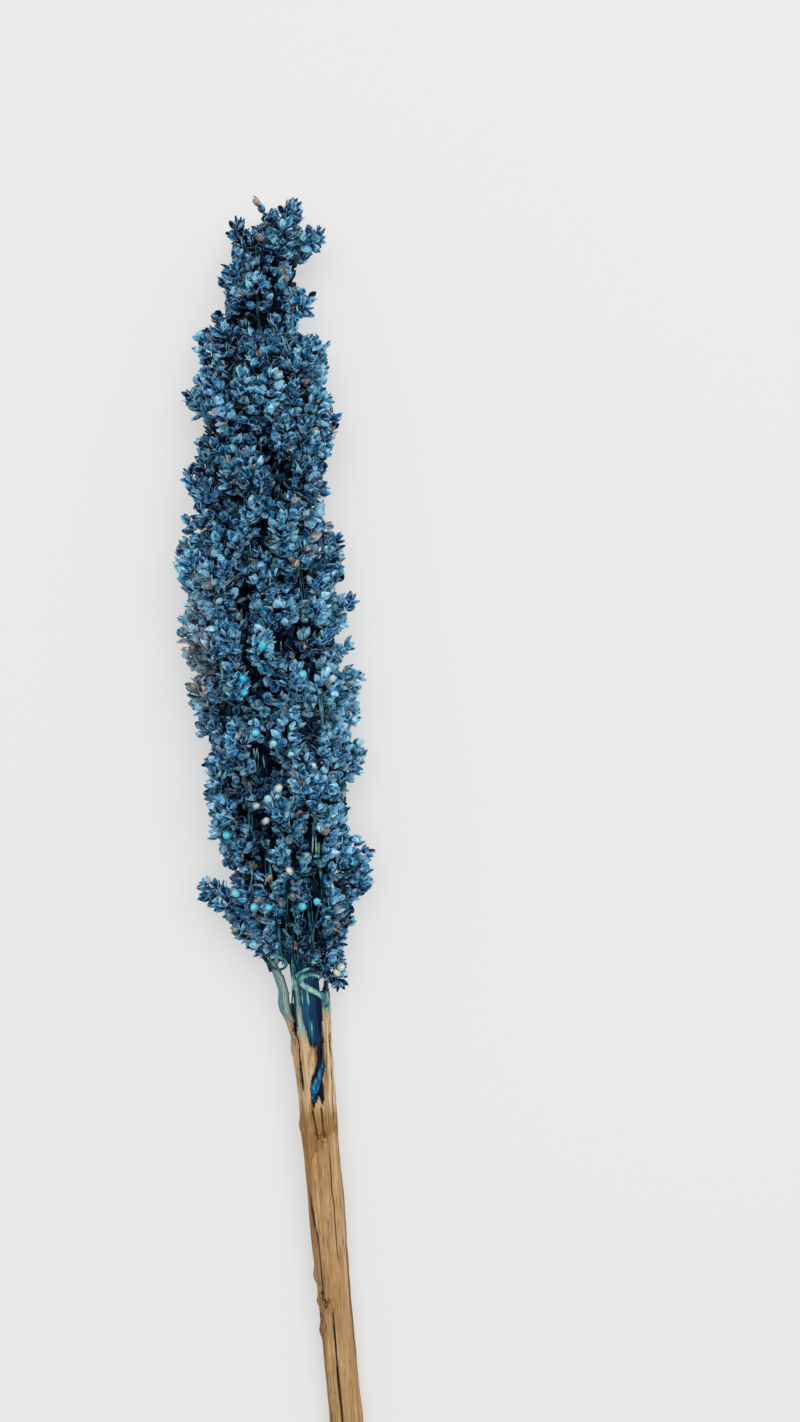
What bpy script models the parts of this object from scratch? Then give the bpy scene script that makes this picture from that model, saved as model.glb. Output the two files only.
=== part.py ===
"""A dried sorghum seed head, dyed blue, lying on its side with its cut stem.

Metres, +Z up, +Y from the cut end to the tip. The head is one body with the dyed stalk under it: its skin swells
into a lobe at the end of each branch, the lobes are covered in pointed spikelets, and sprigs stand clear of them.
The stem is a second body: a dry stalk in a leaf sheath that is torn into strips at the top.
"""

import math
import random

import bmesh
import bpy
from mathutils import Vector

# Lengths along the plant
TIP_Y = 0.250
CUT_Y = -0.250
HEAD_LENGTH = 0.292

# The line that the stalk follows: y, x, z
CENTRELINE = (
    (-0.250, 0.0125, 0.0058),
    (-0.150, 0.0088, 0.0137),
    (-0.055, 0.0058, 0.0206),
    (0.040, -0.0010, 0.0239),
    (0.130, -0.0020, 0.0243),
    (0.200, 0.0025, 0.0226),
    (0.250, 0.0090, 0.0203),
)

# Half the head's width, spikelets included, at distances from its tip
HEAD_WIDTHS = (
    (0.000, 0.0060),
    (0.010, 0.0120),
    (0.025, 0.0160),
    (0.050, 0.0195),
    (0.075, 0.0265),
    (0.110, 0.0285),
    (0.160, 0.0310),
    (0.215, 0.0300),
    (0.245, 0.0305),
    (0.262, 0.0270),
    (0.274, 0.0200),
    (0.284, 0.0125),
    (0.292, 0.0070),
)
FLATTENING = 0.84

# Branches: each ends in a lobe of spikelets that swells out of the head's surface, most at its upper end
BRANCHES = 84
BRANCH_SEED = 7
GOLDEN_ANGLE = math.radians(137.508)
LOBE_LENGTH = 0.044
LOBE_WIDTH = 0.0165
LOBE_DEPTH_SHARE = 0.42
LOBE_UPPER_SWELL = 0.16

# Spikelets: every other point of the head's grid of rings is a spikelet's raised, forward tip
RING_STEP = 0.0033
WIDE_SIDES = 44
NARROW_SIDES = 22
NARROW_BELOW = 0.0185
SPIKELET_RELIEF = 0.0020
SPIKELET_LEAN = 0.0017
SPIKELET_TURN_SCATTER = 0.2
SPIKELET_RELIEF_SCATTER = (0.6, 1.4)
SPIKELET_LEAN_SCATTER = (0.3, 1.25)
HOLLOW_SCATTER = (0.6, 1.15)

# The dyed stalk under the head, which stands down inside the stem's sheath
STALK_RADIUS = 0.0042
STALK_BOTTOM_Y = -0.096
STALK_STEP = 0.009
STALK_RIDGE = 0.0005

# Sprigs that stand clear of the outline: distance of the top from the tip, angle round the stalk in degrees
# (0 right, 90 up, 180 left), reach of its top and of its foot, length, radius
SPRIGS = (
    (0.001, 125, 0.0075, 0.003, 0.018, 0.0036),
    (0.000, 20, 0.0085, 0.003, 0.020, 0.0044),
    (0.013, 0, 0.0175, 0.008, 0.018, 0.0040),
    (0.050, 176, 0.0240, 0.014, 0.022, 0.0048),
    (0.052, 2, 0.0250, 0.014, 0.026, 0.0040),
    (0.070, 183, 0.0295, 0.020, 0.024, 0.0050),
    (0.118, 8, 0.0310, 0.021, 0.026, 0.0052),
    (0.150, 0, 0.0325, 0.021, 0.024, 0.0044),
    (0.156, 180, 0.0315, 0.024, 0.026, 0.0050),
    (0.174, 14, 0.0350, 0.020, 0.026, 0.0056),
    (0.100, 70, 0.0285, 0.020, 0.020, 0.0042),
    (0.188, 118, 0.0295, 0.022, 0.022, 0.0044),
    (0.236, 52, 0.0290, 0.018, 0.022, 0.0044),
    (0.252, 179, 0.0330, 0.014, 0.019, 0.0052),
    (0.262, 4, 0.0195, 0.009, 0.024, 0.0056),
)
SPRIG_RELIEF_SHARE = 0.36
SPRIG_SIDES = 8
SPRIG_RINGS = 6

# The stem: a dry stalk inside its leaf sheath
STEM_RADII = (
    (-0.250, 0.0062),
    (-0.200, 0.0065),
    (-0.150, 0.0062),
    (-0.115, 0.0064),
    (-0.090, 0.0070),
    (-0.070, 0.0069),
)
STEM_TOP_Y = -0.070
TORN_EDGE_HEIGHT = 0.0105
TORN_EDGE_TEETH = 5
STEM_SIDES = 30
STEM_STEP = 0.0090
STEM_FLATTENING = 0.93
RIB_HEIGHT = 0.00028
BORE_GAP = 0.0004

# Long cracks in the sheath: angle in degrees at the lower end, turn over its length, lower y, upper y, depth
CRACKS = (
    (118, -24, -0.262, -0.158, 0.0011),
    (152, 8, -0.172, -0.118, 0.0013),
    (46, -10, -0.176, -0.122, 0.0006),
    (246, 12, -0.240, -0.150, 0.0009),
    (320, -14, -0.200, -0.105, 0.0009),
)

# Gaps torn in the sheath, through which the dyed stalk shows: angle in degrees, lower and upper y, half width
TORN_GAPS = (
    (86, -0.0900, -0.0735, 0.0020),
    (78, -0.0790, -0.0560, 0.0011),
    (140, -0.0760, -0.0560, 0.0006),
    (275, -0.0800, -0.0560, 0.0009),
)
GAP_REACHES = (0.0035, 0.0110)

# Strips of torn sheath round the stalk: angle at the foot in degrees, turn, y of the tip, reach at the tip,
# half width at the foot
STRIPS = (
    (172, 6, -0.0385, 0.0122, 0.0025),
    (116, 20, -0.0420, 0.0086, 0.0028),
    (34, -12, -0.0455, 0.0080, 0.0027),
    (232, -8, -0.0480, 0.0092, 0.0030),
    (310, 10, -0.0450, 0.0094, 0.0030),
)
STRIP_FOOT_Y = -0.0780
STRIP_HALF_THICKNESS = 0.0007
STRIP_RINGS = 7
STRIP_SIDES = 6

# A strip that has curled over in front of the stalk: x, y, z of its line, from its foot on a strip
CURL_LINE = (
    (0.0116, -0.0600, 0.0228),
    (0.0121, -0.0550, 0.0240),
    (0.0124, -0.0505, 0.0268),
    (0.0112, -0.0468, 0.0298),
    (0.0078, -0.0445, 0.0316),
    (0.0052, -0.0425, 0.0326),
    (0.0048, -0.0398, 0.0334),
    (0.0068, -0.0380, 0.0342),
    (0.0088, -0.0386, 0.0348),
)
CURL_RADIUS = 0.0010
CURL_TAPER = 0.07

TABLE_Z = 0.0


def smooth_value(table, at):
    """The value at a place in a table of (place, value, ...), along a smooth curve through its rows."""
    rows = sorted(table)
    at = min(max(at, rows[0][0]), rows[-1][0])
    i = max(k for k in range(len(rows) - 1) if rows[k][0] <= at)
    before, low, high, after = rows[max(i - 1, 0)], rows[i], rows[i + 1], rows[min(i + 2, len(rows) - 1)]
    span = high[0] - low[0]
    t = (at - low[0]) / span
    values = []
    for column in range(1, len(low)):
        slope_low = (high[column] - before[column]) / (high[0] - before[0]) * span
        slope_high = (after[column] - low[column]) / (after[0] - low[0]) * span
        values.append(
            (2 * t**3 - 3 * t**2 + 1) * low[column]
            + (t**3 - 2 * t**2 + t) * slope_low
            + (3 * t**2 - 2 * t**3) * high[column]
            + (t**3 - t**2) * slope_high
        )
    return values[0] if len(values) == 1 else values


def centre(y):
    """The point of the stalk's line at y."""
    x, z = smooth_value(CENTRELINE, y)
    return Vector((x, y, z))


def head_radius(distance):
    return smooth_value(HEAD_WIDTHS, distance)


def outward(angle):
    """The direction across the stalk at an angle: 0 right, 90 degrees up."""
    return Vector((math.cos(angle), 0, math.sin(angle)))


def head_point(distance, angle, reach):
    """The point at a distance from the tip and a reach from the stalk, on the flattened cross-section."""
    side = outward(angle) * reach
    side.z *= FLATTENING
    return centre(TIP_Y - distance) + side


def mesh_object(name, points, faces):
    """An object whose closed skin has all its faces pointing out."""
    mesh = bpy.data.meshes.new(name)
    mesh.from_pydata([tuple(point) for point in points], [], faces)
    skin = bmesh.new()
    skin.from_mesh(mesh)
    bmesh.ops.recalc_face_normals(skin, faces=skin.faces)
    skin.to_mesh(mesh)
    skin.free()
    obj = bpy.data.objects.new(name, mesh)
    bpy.context.scene.collection.objects.link(obj)
    return obj


def band(low, low_start, high, high_start, row):
    """Triangles between two rings of points. One ring may have twice the points of the other."""
    faces = []
    if len(low) == len(high):
        sides = len(low)
        for k in range(sides):
            following = (k + 1) % sides
            a, b = low_start + k, low_start + following
            c, d = high_start + following, high_start + k
            faces += [(a, b, d), (b, c, d)] if (row + k) % 2 == 0 else [(a, b, c), (a, c, d)]
        return faces
    few, few_start, many, many_start = (low, low_start, high, high_start)
    if len(low) > len(high):
        few, few_start, many, many_start = (high, high_start, low, low_start)
    for k in range(len(few)):
        a, b = few_start + k, few_start + (k + 1) % len(few)
        c, d, e = (many_start + (2 * k + step) % len(many) for step in range(3))
        faces += [(a, c, d), (a, d, b), (b, d, e)]
    return faces


def closed_rings(rings, start, end):
    """Points and triangles of a closed skin over rings of points, with a point at each end."""
    points = [start]
    starts = []
    for ring in rings:
        starts.append(len(points))
        points += ring
    points.append(end)
    faces = []
    for k in range(len(rings[0])):
        faces.append((0, starts[0] + k, starts[0] + (k + 1) % len(rings[0])))
    for k in range(len(rings[-1])):
        faces.append((len(points) - 1, starts[-1] + k, starts[-1] + (k + 1) % len(rings[-1])))
    for row in range(len(rings) - 1):
        faces += band(rings[row], starts[row], rings[row + 1], starts[row + 1], row)
    return points, faces


def branch_lobes():
    """(distance from the tip, angle, half length, half width, height) of each branch's lobe, spread evenly."""
    rng = random.Random(BRANCH_SEED)
    steps = 400
    areas, total = [], 0.0
    for i in range(steps):
        total += head_radius((i + 0.5) / steps * HEAD_LENGTH)
        areas.append(total)
    lobes = []
    for i in range(BRANCHES):
        wanted = (i + 0.5) / BRANCHES * total
        distance = (next(k for k, area in enumerate(areas) if area >= wanted) + 0.5) / steps * HEAD_LENGTH
        size = min(1.0, 0.45 + head_radius(distance) / 0.045)
        lobes.append((
            distance + rng.uniform(-0.003, 0.003),
            (i * GOLDEN_ANGLE + rng.uniform(-0.16, 0.16)) % math.tau,
            LOBE_LENGTH / 2 * size * rng.uniform(0.88, 1.15),
            LOBE_WIDTH / 2 * size * rng.uniform(0.88, 1.12),
            rng.uniform(0.80, 1.04),
        ))
    return lobes


def surface_reach(distance, angle, lobes):
    """How far the head's surface stands from the stalk: grooves, with the lobes swelling out of them."""
    width = head_radius(distance)
    swell = 0.0
    for place, towards, half_length, half_width, height in lobes:
        u = (distance - place) / half_length
        if abs(u) >= 1:
            continue
        turn = (angle - towards + math.pi) % math.tau - math.pi
        v = turn * width / half_width
        if u * u + v * v < 1:
            swell = max(swell, height * (1 - LOBE_UPPER_SWELL * u) * (1 - u * u - v * v) ** 0.45)
    return width * (1 - LOBE_DEPTH_SHARE * (1 - swell)) - SPIKELET_RELIEF


def spikelet_rings(lobes, rng):
    """The head's skin, ring by ring from the neck to the tip, with the spikelets raised from it."""
    rings = []
    count = round((HEAD_LENGTH - 0.006) / RING_STEP)
    for row in range(count + 1):
        distance = HEAD_LENGTH - 0.003 - row * RING_STEP
        width = head_radius(distance)
        sides = WIDE_SIDES if width > NARROW_BELOW else NARROW_SIDES
        relief = SPIKELET_RELIEF * min(1.0, width / 0.012)
        ring = []
        for k in range(sides):
            raised = (row + k) % 2 == 1
            angle = math.tau * k / sides
            reach = surface_reach(distance, angle, lobes)
            forward = 0.0
            if raised:
                angle += rng.uniform(-SPIKELET_TURN_SCATTER, SPIKELET_TURN_SCATTER) * math.tau / sides
                reach += relief * rng.uniform(*SPIKELET_RELIEF_SCATTER)
                forward = SPIKELET_LEAN * rng.uniform(*SPIKELET_LEAN_SCATTER)
            else:
                reach -= relief * rng.uniform(*HOLLOW_SCATTER)
            ring.append(head_point(distance - forward, angle, reach))
        rings.append(ring)
    return rings


def stalk_rings():
    """The dyed stalk, ridged along its length, from inside the stem up to the head's neck."""
    rings = []
    top_y = TIP_Y - HEAD_LENGTH - 0.002
    bottom_y = STALK_BOTTOM_Y + 0.002
    count = round((top_y - bottom_y) / STALK_STEP)
    for row in range(count + 1):
        y = bottom_y + (top_y - bottom_y) * row / count
        ring = []
        for k in range(NARROW_SIDES):
            ridge = STALK_RIDGE if k % 2 else -STALK_RIDGE
            ring.append(centre(y) + outward(math.tau * k / NARROW_SIDES) * (STALK_RADIUS + ridge))
        rings.append(ring)
    return rings


def sprig(name, base, top, radius, rng):
    """A spindle of spikelets from base to top, for a branch that stands clear of the head."""
    along = (top - base).normalized()
    across = along.cross(Vector((0, 0, 1))).normalized()
    third = along.cross(across)
    turn = rng.uniform(0, math.tau)
    rings = []
    for row in range(SPRIG_RINGS):
        share = (row + 0.6) / (SPRIG_RINGS + 0.2)
        swell = math.sin(math.pi * share**0.85) ** 0.55
        ring = []
        for k in range(SPRIG_SIDES):
            angle = turn + math.tau * k / SPRIG_SIDES
            raised = (row + k) % 2 == 1
            height = radius * swell * (1 + (SPRIG_RELIEF_SHARE if raised else -SPRIG_RELIEF_SHARE))
            forward = share * (top - base).length + (SPIKELET_LEAN if raised else 0)
            side = across * math.cos(angle) + third * math.sin(angle)
            ring.append(base + along * forward + side * height)
        rings.append(ring)
    points, faces = closed_rings(rings, base, top + along * SPIKELET_LEAN)
    return mesh_object(name, points, faces)


def sprigs(rng):
    made = []
    for i, (distance, degrees, top_reach, foot_reach, length, radius) in enumerate(SPRIGS):
        top = head_point(distance, math.radians(degrees), top_reach)
        base = head_point(distance + length, math.radians(degrees), foot_reach)
        made.append(sprig(f"sprig_{i}", base, top, radius, rng))
    return made


def apply_boolean(obj, operation, others):
    """Joins or cuts obj with all the others in one step, and removes them."""
    collection = bpy.data.collections.new("others")
    bpy.context.scene.collection.children.link(collection)
    for other in others:
        collection.objects.link(other)
    modifier = obj.modifiers.new(operation.lower(), "BOOLEAN")
    modifier.operation = operation
    modifier.operand_type = "COLLECTION"
    modifier.collection = collection
    modifier.solver = "MANIFOLD"
    graph = bpy.context.evaluated_depsgraph_get()
    mesh = bpy.data.meshes.new_from_object(obj.evaluated_get(graph))
    obj.modifiers.remove(modifier)
    obj.data = mesh
    for other in others:
        bpy.data.objects.remove(other)
    bpy.data.collections.remove(collection)


def keep_outer_skin(obj):
    """Fills the hollows that the joining sealed and drops loose scraps, by keeping only the largest skin."""
    mesh = bmesh.new()
    mesh.from_mesh(obj.data)
    unseen = set(mesh.verts)
    skins = []
    while unseen:
        skin, front = set(), [unseen.pop()]
        while front:
            point = front.pop()
            skin.add(point)
            for edge in point.link_edges:
                other = edge.other_vert(point)
                if other in unseen:
                    unseen.discard(other)
                    front.append(other)
        skins.append(skin)
    kept = max(skins, key=len)
    bmesh.ops.delete(mesh, geom=[point for point in mesh.verts if point not in kept], context="VERTS")
    mesh.to_mesh(obj.data)
    mesh.free()


def table_cutter():
    """A slab under the table's surface, which flattens the spikelets that the head rests on."""
    bpy.ops.mesh.primitive_cube_add(size=1, location=(0, 0, TABLE_Z - 0.02))
    cutter = bpy.context.object
    cutter.scale = (0.3, 0.8, 0.04)
    bpy.ops.object.transform_apply(location=True, rotation=False, scale=True)
    return cutter


def material(name, colour, roughness):
    made = bpy.data.materials.new(name)
    made.use_nodes = True
    shader = made.node_tree.nodes["Principled BSDF"]
    shader.inputs["Base Color"].default_value = (*colour, 1)
    shader.inputs["Roughness"].default_value = roughness
    shader.inputs["Metallic"].default_value = 0
    return made


def head_object():
    """The dyed stalk and the head on it, as one body."""
    rng = random.Random(BRANCH_SEED)
    rings = stalk_rings() + spikelet_rings(branch_lobes(), rng)
    points, faces = closed_rings(rings, centre(STALK_BOTTOM_Y), centre(TIP_Y - 0.001))
    head = mesh_object("head", points, faces)
    apply_boolean(head, "UNION", sprigs(rng))
    keep_outer_skin(head)
    apply_boolean(head, "DIFFERENCE", [table_cutter()])
    head.data.materials.clear()
    head.data.materials.append(material("dyed_spikelets", (0.024, 0.100, 0.190), 0.6))
    return head


def stem_reach(y, angle):
    """How far the stem's surface stands from its line: fine ribs, and the long cracks sunk in it."""
    reach = smooth_value(STEM_RADII, y)
    reach += RIB_HEIGHT * (math.sin(5 * angle + y * 22) + 0.6 * math.sin(9 * angle - y * 35))
    for degrees, turn, low_y, high_y, depth in CRACKS:
        if low_y < y < high_y:
            share = (y - low_y) / (high_y - low_y)
            towards = math.radians(degrees + turn * share)
            off = (angle - towards + math.pi) % math.tau - math.pi
            if abs(off) < math.pi / STEM_SIDES:
                reach -= depth * math.sin(math.pi * share) ** 0.5
    return reach


def tube_rings(low_y, high_y, step, sides, reach_at):
    """Rings of points round the stalk's line, with a reach from it at each y and angle."""
    rings = []
    count = round((high_y - low_y) / step)
    for row in range(count + 1):
        y = low_y + (high_y - low_y) * row / count
        rings.append([
            centre(y) + outward(math.tau * k / sides) * reach_at(y, math.tau * k / sides)
            for k in range(sides)
        ])
    return rings


def torn_edge(angle):
    """How far the sheath's torn upper edge stands above its lowest point: a pointed tooth for each strip."""
    edge = 0.0
    for degrees, turn, tip_y, tip_reach, half_width in STRIPS:
        off = abs((angle - math.radians(degrees) + math.pi) % math.tau - math.pi)
        edge = max(edge, TORN_EDGE_HEIGHT * (1 - off * TORN_EDGE_TEETH / math.pi))
    return edge


def stalk_and_sheath():
    """The stem up to its torn edge, solid, ribbed along its length and cut off square at the bottom."""
    rings = tube_rings(CUT_Y, STEM_TOP_Y, STEM_STEP, STEM_SIDES, stem_reach)
    for k, point in enumerate(rings[-1]):
        point += centre(STEM_TOP_Y + torn_edge(math.tau * k / STEM_SIDES)) - centre(STEM_TOP_Y)
    for ring in rings:
        for point in ring:
            middle = centre(point.y).z
            point.z = middle + (point.z - middle) * STEM_FLATTENING
    points, faces = closed_rings(rings, centre(CUT_Y), centre(STEM_TOP_Y))
    return mesh_object("stem", points, faces)


def bore_cutter():
    """The space inside the sheath that the dyed stalk stands in."""
    bottom, top = STALK_BOTTOM_Y - BORE_GAP, STEM_TOP_Y + TORN_EDGE_HEIGHT * 1.3
    reach = STALK_RADIUS + STALK_RIDGE + BORE_GAP
    rings = tube_rings(bottom, top, STALK_STEP, NARROW_SIDES, lambda y, angle: reach)
    points, faces = closed_rings(rings, centre(bottom - 0.001), centre(top + 0.001))
    return mesh_object("bore", points, faces)


def gap_cutter(degrees, low_y, high_y, half_width):
    """A long pointed hole through one wall of the sheath."""
    side = outward(math.radians(degrees))
    sideways = outward(math.radians(degrees) + math.pi / 2)
    middle_y = low_y + (high_y - low_y) * 0.4
    rings = []
    for reach in GAP_REACHES:
        ring = []
        for y, off in ((low_y, 0), (middle_y, 1), (high_y, 0.35), (high_y, -0.35), (middle_y, -1)):
            ring.append(centre(y) + side * reach + sideways * half_width * off)
        rings.append(ring)
    middle = centre(middle_y)
    points, faces = closed_rings(rings, middle + side * GAP_REACHES[0], middle + side * GAP_REACHES[1])
    return mesh_object("gap", points, faces)


def strip(degrees, turn, tip_y, tip_reach, half_width):
    """A tapering strip of sheath, from its foot sunk in the sheath's wall to a point beside the stalk."""
    foot_reach = smooth_value(STEM_RADII, STRIP_FOOT_Y) - STRIP_HALF_THICKNESS * 1.9
    rings = []
    for row in range(STRIP_RINGS):
        share = row / (STRIP_RINGS - 0.5)
        y = STRIP_FOOT_Y + (tip_y - STRIP_FOOT_Y) * share
        angle = math.radians(degrees + turn * share)
        reach = foot_reach + (tip_reach - foot_reach) * share**2.2
        taper = 1 - 0.8 * share**1.4
        thickness = STRIP_HALF_THICKNESS * (0.6 + 0.4 * taper)
        ring = []
        for k in range(STRIP_SIDES):
            turned = math.tau * k / STRIP_SIDES
            sideways = outward(angle + math.pi / 2) * math.cos(turned) * half_width * taper
            ring.append(centre(y) + outward(angle) * (reach + math.sin(turned) * thickness) + sideways)
        rings.append(ring)
    foot = centre(STRIP_FOOT_Y - 0.001) + outward(math.radians(degrees)) * foot_reach
    tip = centre(tip_y) + outward(math.radians(degrees + turn)) * tip_reach
    points, faces = closed_rings(rings, foot, tip)
    return mesh_object("strip", points, faces)


def curled_strip():
    """A thin strip whose end has curled back on itself."""
    line = [Vector(point) for point in CURL_LINE]
    rings = []
    for i in range(1, len(line) - 1):
        along = (line[i + 1] - line[i - 1]).normalized()
        across = along.cross(Vector((0, 0, 1))).normalized()
        third = along.cross(across)
        radius = CURL_RADIUS * (1 - CURL_TAPER * i)
        rings.append([
            line[i] + (across * math.cos(math.tau * k / 6) + third * math.sin(math.tau * k / 6)) * radius
            for k in range(6)
        ])
    points, faces = closed_rings(rings, line[0], line[-1])
    return mesh_object("curl", points, faces)


def stem_object():
    """The stem with its torn sheath, hollow at the top round the dyed stalk."""
    stem = stalk_and_sheath()
    apply_boolean(stem, "DIFFERENCE", [bore_cutter()])
    apply_boolean(stem, "UNION", [strip(*values) for values in STRIPS] + [curled_strip()])
    for values in TORN_GAPS:
        apply_boolean(stem, "DIFFERENCE", [gap_cutter(*values)])
    keep_outer_skin(stem)
    stem.data.materials.clear()
    stem.data.materials.append(material("dry_stalk", (0.43, 0.26, 0.13), 0.7))


def build():
    for obj in list(bpy.data.objects):
        bpy.data.objects.remove(obj)
    head_object()
    stem_object()


build()
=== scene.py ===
"""A dried sorghum seed head, dyed blue, lying on its side with its cut stem: the finished looks."""

import math
import random

import bmesh
import bpy
import numpy as np
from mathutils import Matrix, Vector, noise


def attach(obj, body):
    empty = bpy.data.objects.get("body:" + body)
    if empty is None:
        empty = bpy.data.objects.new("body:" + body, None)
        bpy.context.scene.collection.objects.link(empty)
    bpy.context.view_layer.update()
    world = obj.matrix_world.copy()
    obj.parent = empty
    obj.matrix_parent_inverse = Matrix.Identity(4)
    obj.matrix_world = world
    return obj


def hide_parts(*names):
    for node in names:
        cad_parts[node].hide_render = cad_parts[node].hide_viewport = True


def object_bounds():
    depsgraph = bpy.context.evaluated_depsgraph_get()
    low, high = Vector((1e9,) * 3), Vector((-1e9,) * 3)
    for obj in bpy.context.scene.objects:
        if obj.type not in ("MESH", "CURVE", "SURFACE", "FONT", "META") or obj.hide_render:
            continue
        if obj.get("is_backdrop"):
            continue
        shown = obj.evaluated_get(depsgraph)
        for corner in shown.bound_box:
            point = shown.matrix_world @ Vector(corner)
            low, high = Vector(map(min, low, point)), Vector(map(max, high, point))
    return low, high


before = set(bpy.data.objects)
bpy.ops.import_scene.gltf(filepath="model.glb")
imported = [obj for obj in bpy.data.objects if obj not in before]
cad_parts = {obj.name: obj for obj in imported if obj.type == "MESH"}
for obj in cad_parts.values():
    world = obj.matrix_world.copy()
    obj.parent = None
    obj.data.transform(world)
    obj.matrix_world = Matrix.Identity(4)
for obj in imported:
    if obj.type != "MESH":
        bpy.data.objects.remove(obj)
cad_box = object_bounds()

# Dyed stalk
# The upper stalk of the plant. It stood in the dye with the head, so it is deep blue, and it is ridged along its
# length. It stands down inside the torn sheath and runs on up the middle of the head, thinner and thinner.

STALK_LINE = (
    (-0.250, 0.0125, 0.0058),
    (-0.150, 0.0088, 0.0137),
    (-0.055, 0.0058, 0.0206),
    (0.040, -0.0010, 0.0239),
    (0.130, -0.0020, 0.0243),
    (0.200, 0.0025, 0.0226),
    (0.250, 0.0090, 0.0203),
)
STALK_RADII = (
    (-0.096, 0.0044),
    (-0.080, 0.0047),
    (-0.045, 0.0048),
    (-0.020, 0.0043),
    (0.060, 0.0028),
    (0.180, 0.0016),
    (0.242, 0.0006),
)


def smooth(table, at):
    """Values at places in a table of (place, value, ...), along a smooth curve through its rows."""
    rows = np.array(table)
    places = rows[:, 0]
    at = np.clip(np.asarray(at, float), places[0], places[-1])
    low = np.clip(np.searchsorted(places, at, side="right") - 1, 0, len(rows) - 2)
    before, after = np.maximum(low - 1, 0), np.minimum(low + 2, len(rows) - 1)
    span = (places[low + 1] - places[low])[..., None]
    t = (at - places[low])[..., None] / span
    slope_low = (rows[low + 1] - rows[before]) / (places[low + 1] - places[before])[..., None] * span
    slope_high = (rows[after] - rows[low]) / (places[after] - places[low])[..., None] * span
    found = (
        (2 * t**3 - 3 * t**2 + 1) * rows[low]
        + (t**3 - 2 * t**2 + t) * slope_low
        + (3 * t**2 - 2 * t**3) * rows[low + 1]
        + (t**3 - t**2) * slope_high
    )
    return found[..., 1] if len(table[0]) == 2 else found[..., 1:]


def stalk_at(y):
    """Points of the stalk's line at heights y."""
    found = smooth(STALK_LINE, y)
    return np.stack([found[..., 0], np.asarray(y, float), found[..., 1]], axis=-1)


def finished(name, obj):
    """The object under its final name, riding on the part's one body, with its place in its mesh."""
    obj.name = name
    obj.data.name = name
    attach(obj, "root")
    return obj


def add_strand(curve, line, radii):
    """Adds a smooth strand to a curve, through a line of points, as thick as the radii say."""
    spline = curve.splines.new("NURBS")
    spline.points.add(len(line) - 1)
    spline.order_u = 4
    spline.use_endpoint_u = True
    for point, place, radius in zip(spline.points, line, radii):
        point.co = (*place, 1)
        point.radius = radius


def round_strands(name, strands, bevel_depth, bevel_resolution, resolution):
    """One round-sided mesh of strands, each a line of points and a radius for each point."""
    curve = bpy.data.curves.new(name, "CURVE")
    curve.dimensions = "3D"
    curve.bevel_depth = bevel_depth
    curve.bevel_resolution = bevel_resolution
    curve.resolution_u = resolution
    curve.use_fill_caps = True
    for line, radii in strands:
        add_strand(curve, line, radii)
    obj = bpy.data.objects.new(name, curve)
    bpy.context.scene.collection.objects.link(obj)
    bpy.ops.object.select_all(action="DESELECT")
    obj.select_set(True)
    bpy.context.view_layer.objects.active = obj
    bpy.ops.object.convert(target="MESH")
    bpy.ops.object.shade_smooth()
    return bpy.context.object


def shaped_rod(sides, rows, shape):
    """A rod with a round of points at each row from 0 to 1, each point moved from (x, y, share) by shape."""
    bpy.ops.object.select_all(action="DESELECT")
    bpy.ops.mesh.primitive_cylinder_add(vertices=sides, radius=1, depth=1, end_fill_type="TRIFAN")
    rod = bpy.context.object
    bpy.ops.object.mode_set(mode="EDIT")
    edit = bmesh.from_edit_mesh(rod.data)
    long_edges = [edge for edge in edit.edges if abs(edge.verts[0].co.z - edge.verts[1].co.z) > 0.5]
    bmesh.ops.subdivide_edges(edit, edges=long_edges, cuts=rows - 2, use_grid_fill=True)
    for point in edit.verts:
        point.co = shape(point.co.x, point.co.y, point.co.z + 0.5)
    bmesh.ops.recalc_face_normals(edit, faces=edit.faces)
    bmesh.update_edit_mesh(rod.data)
    bpy.ops.object.mode_set(mode="OBJECT")
    return rod


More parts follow.
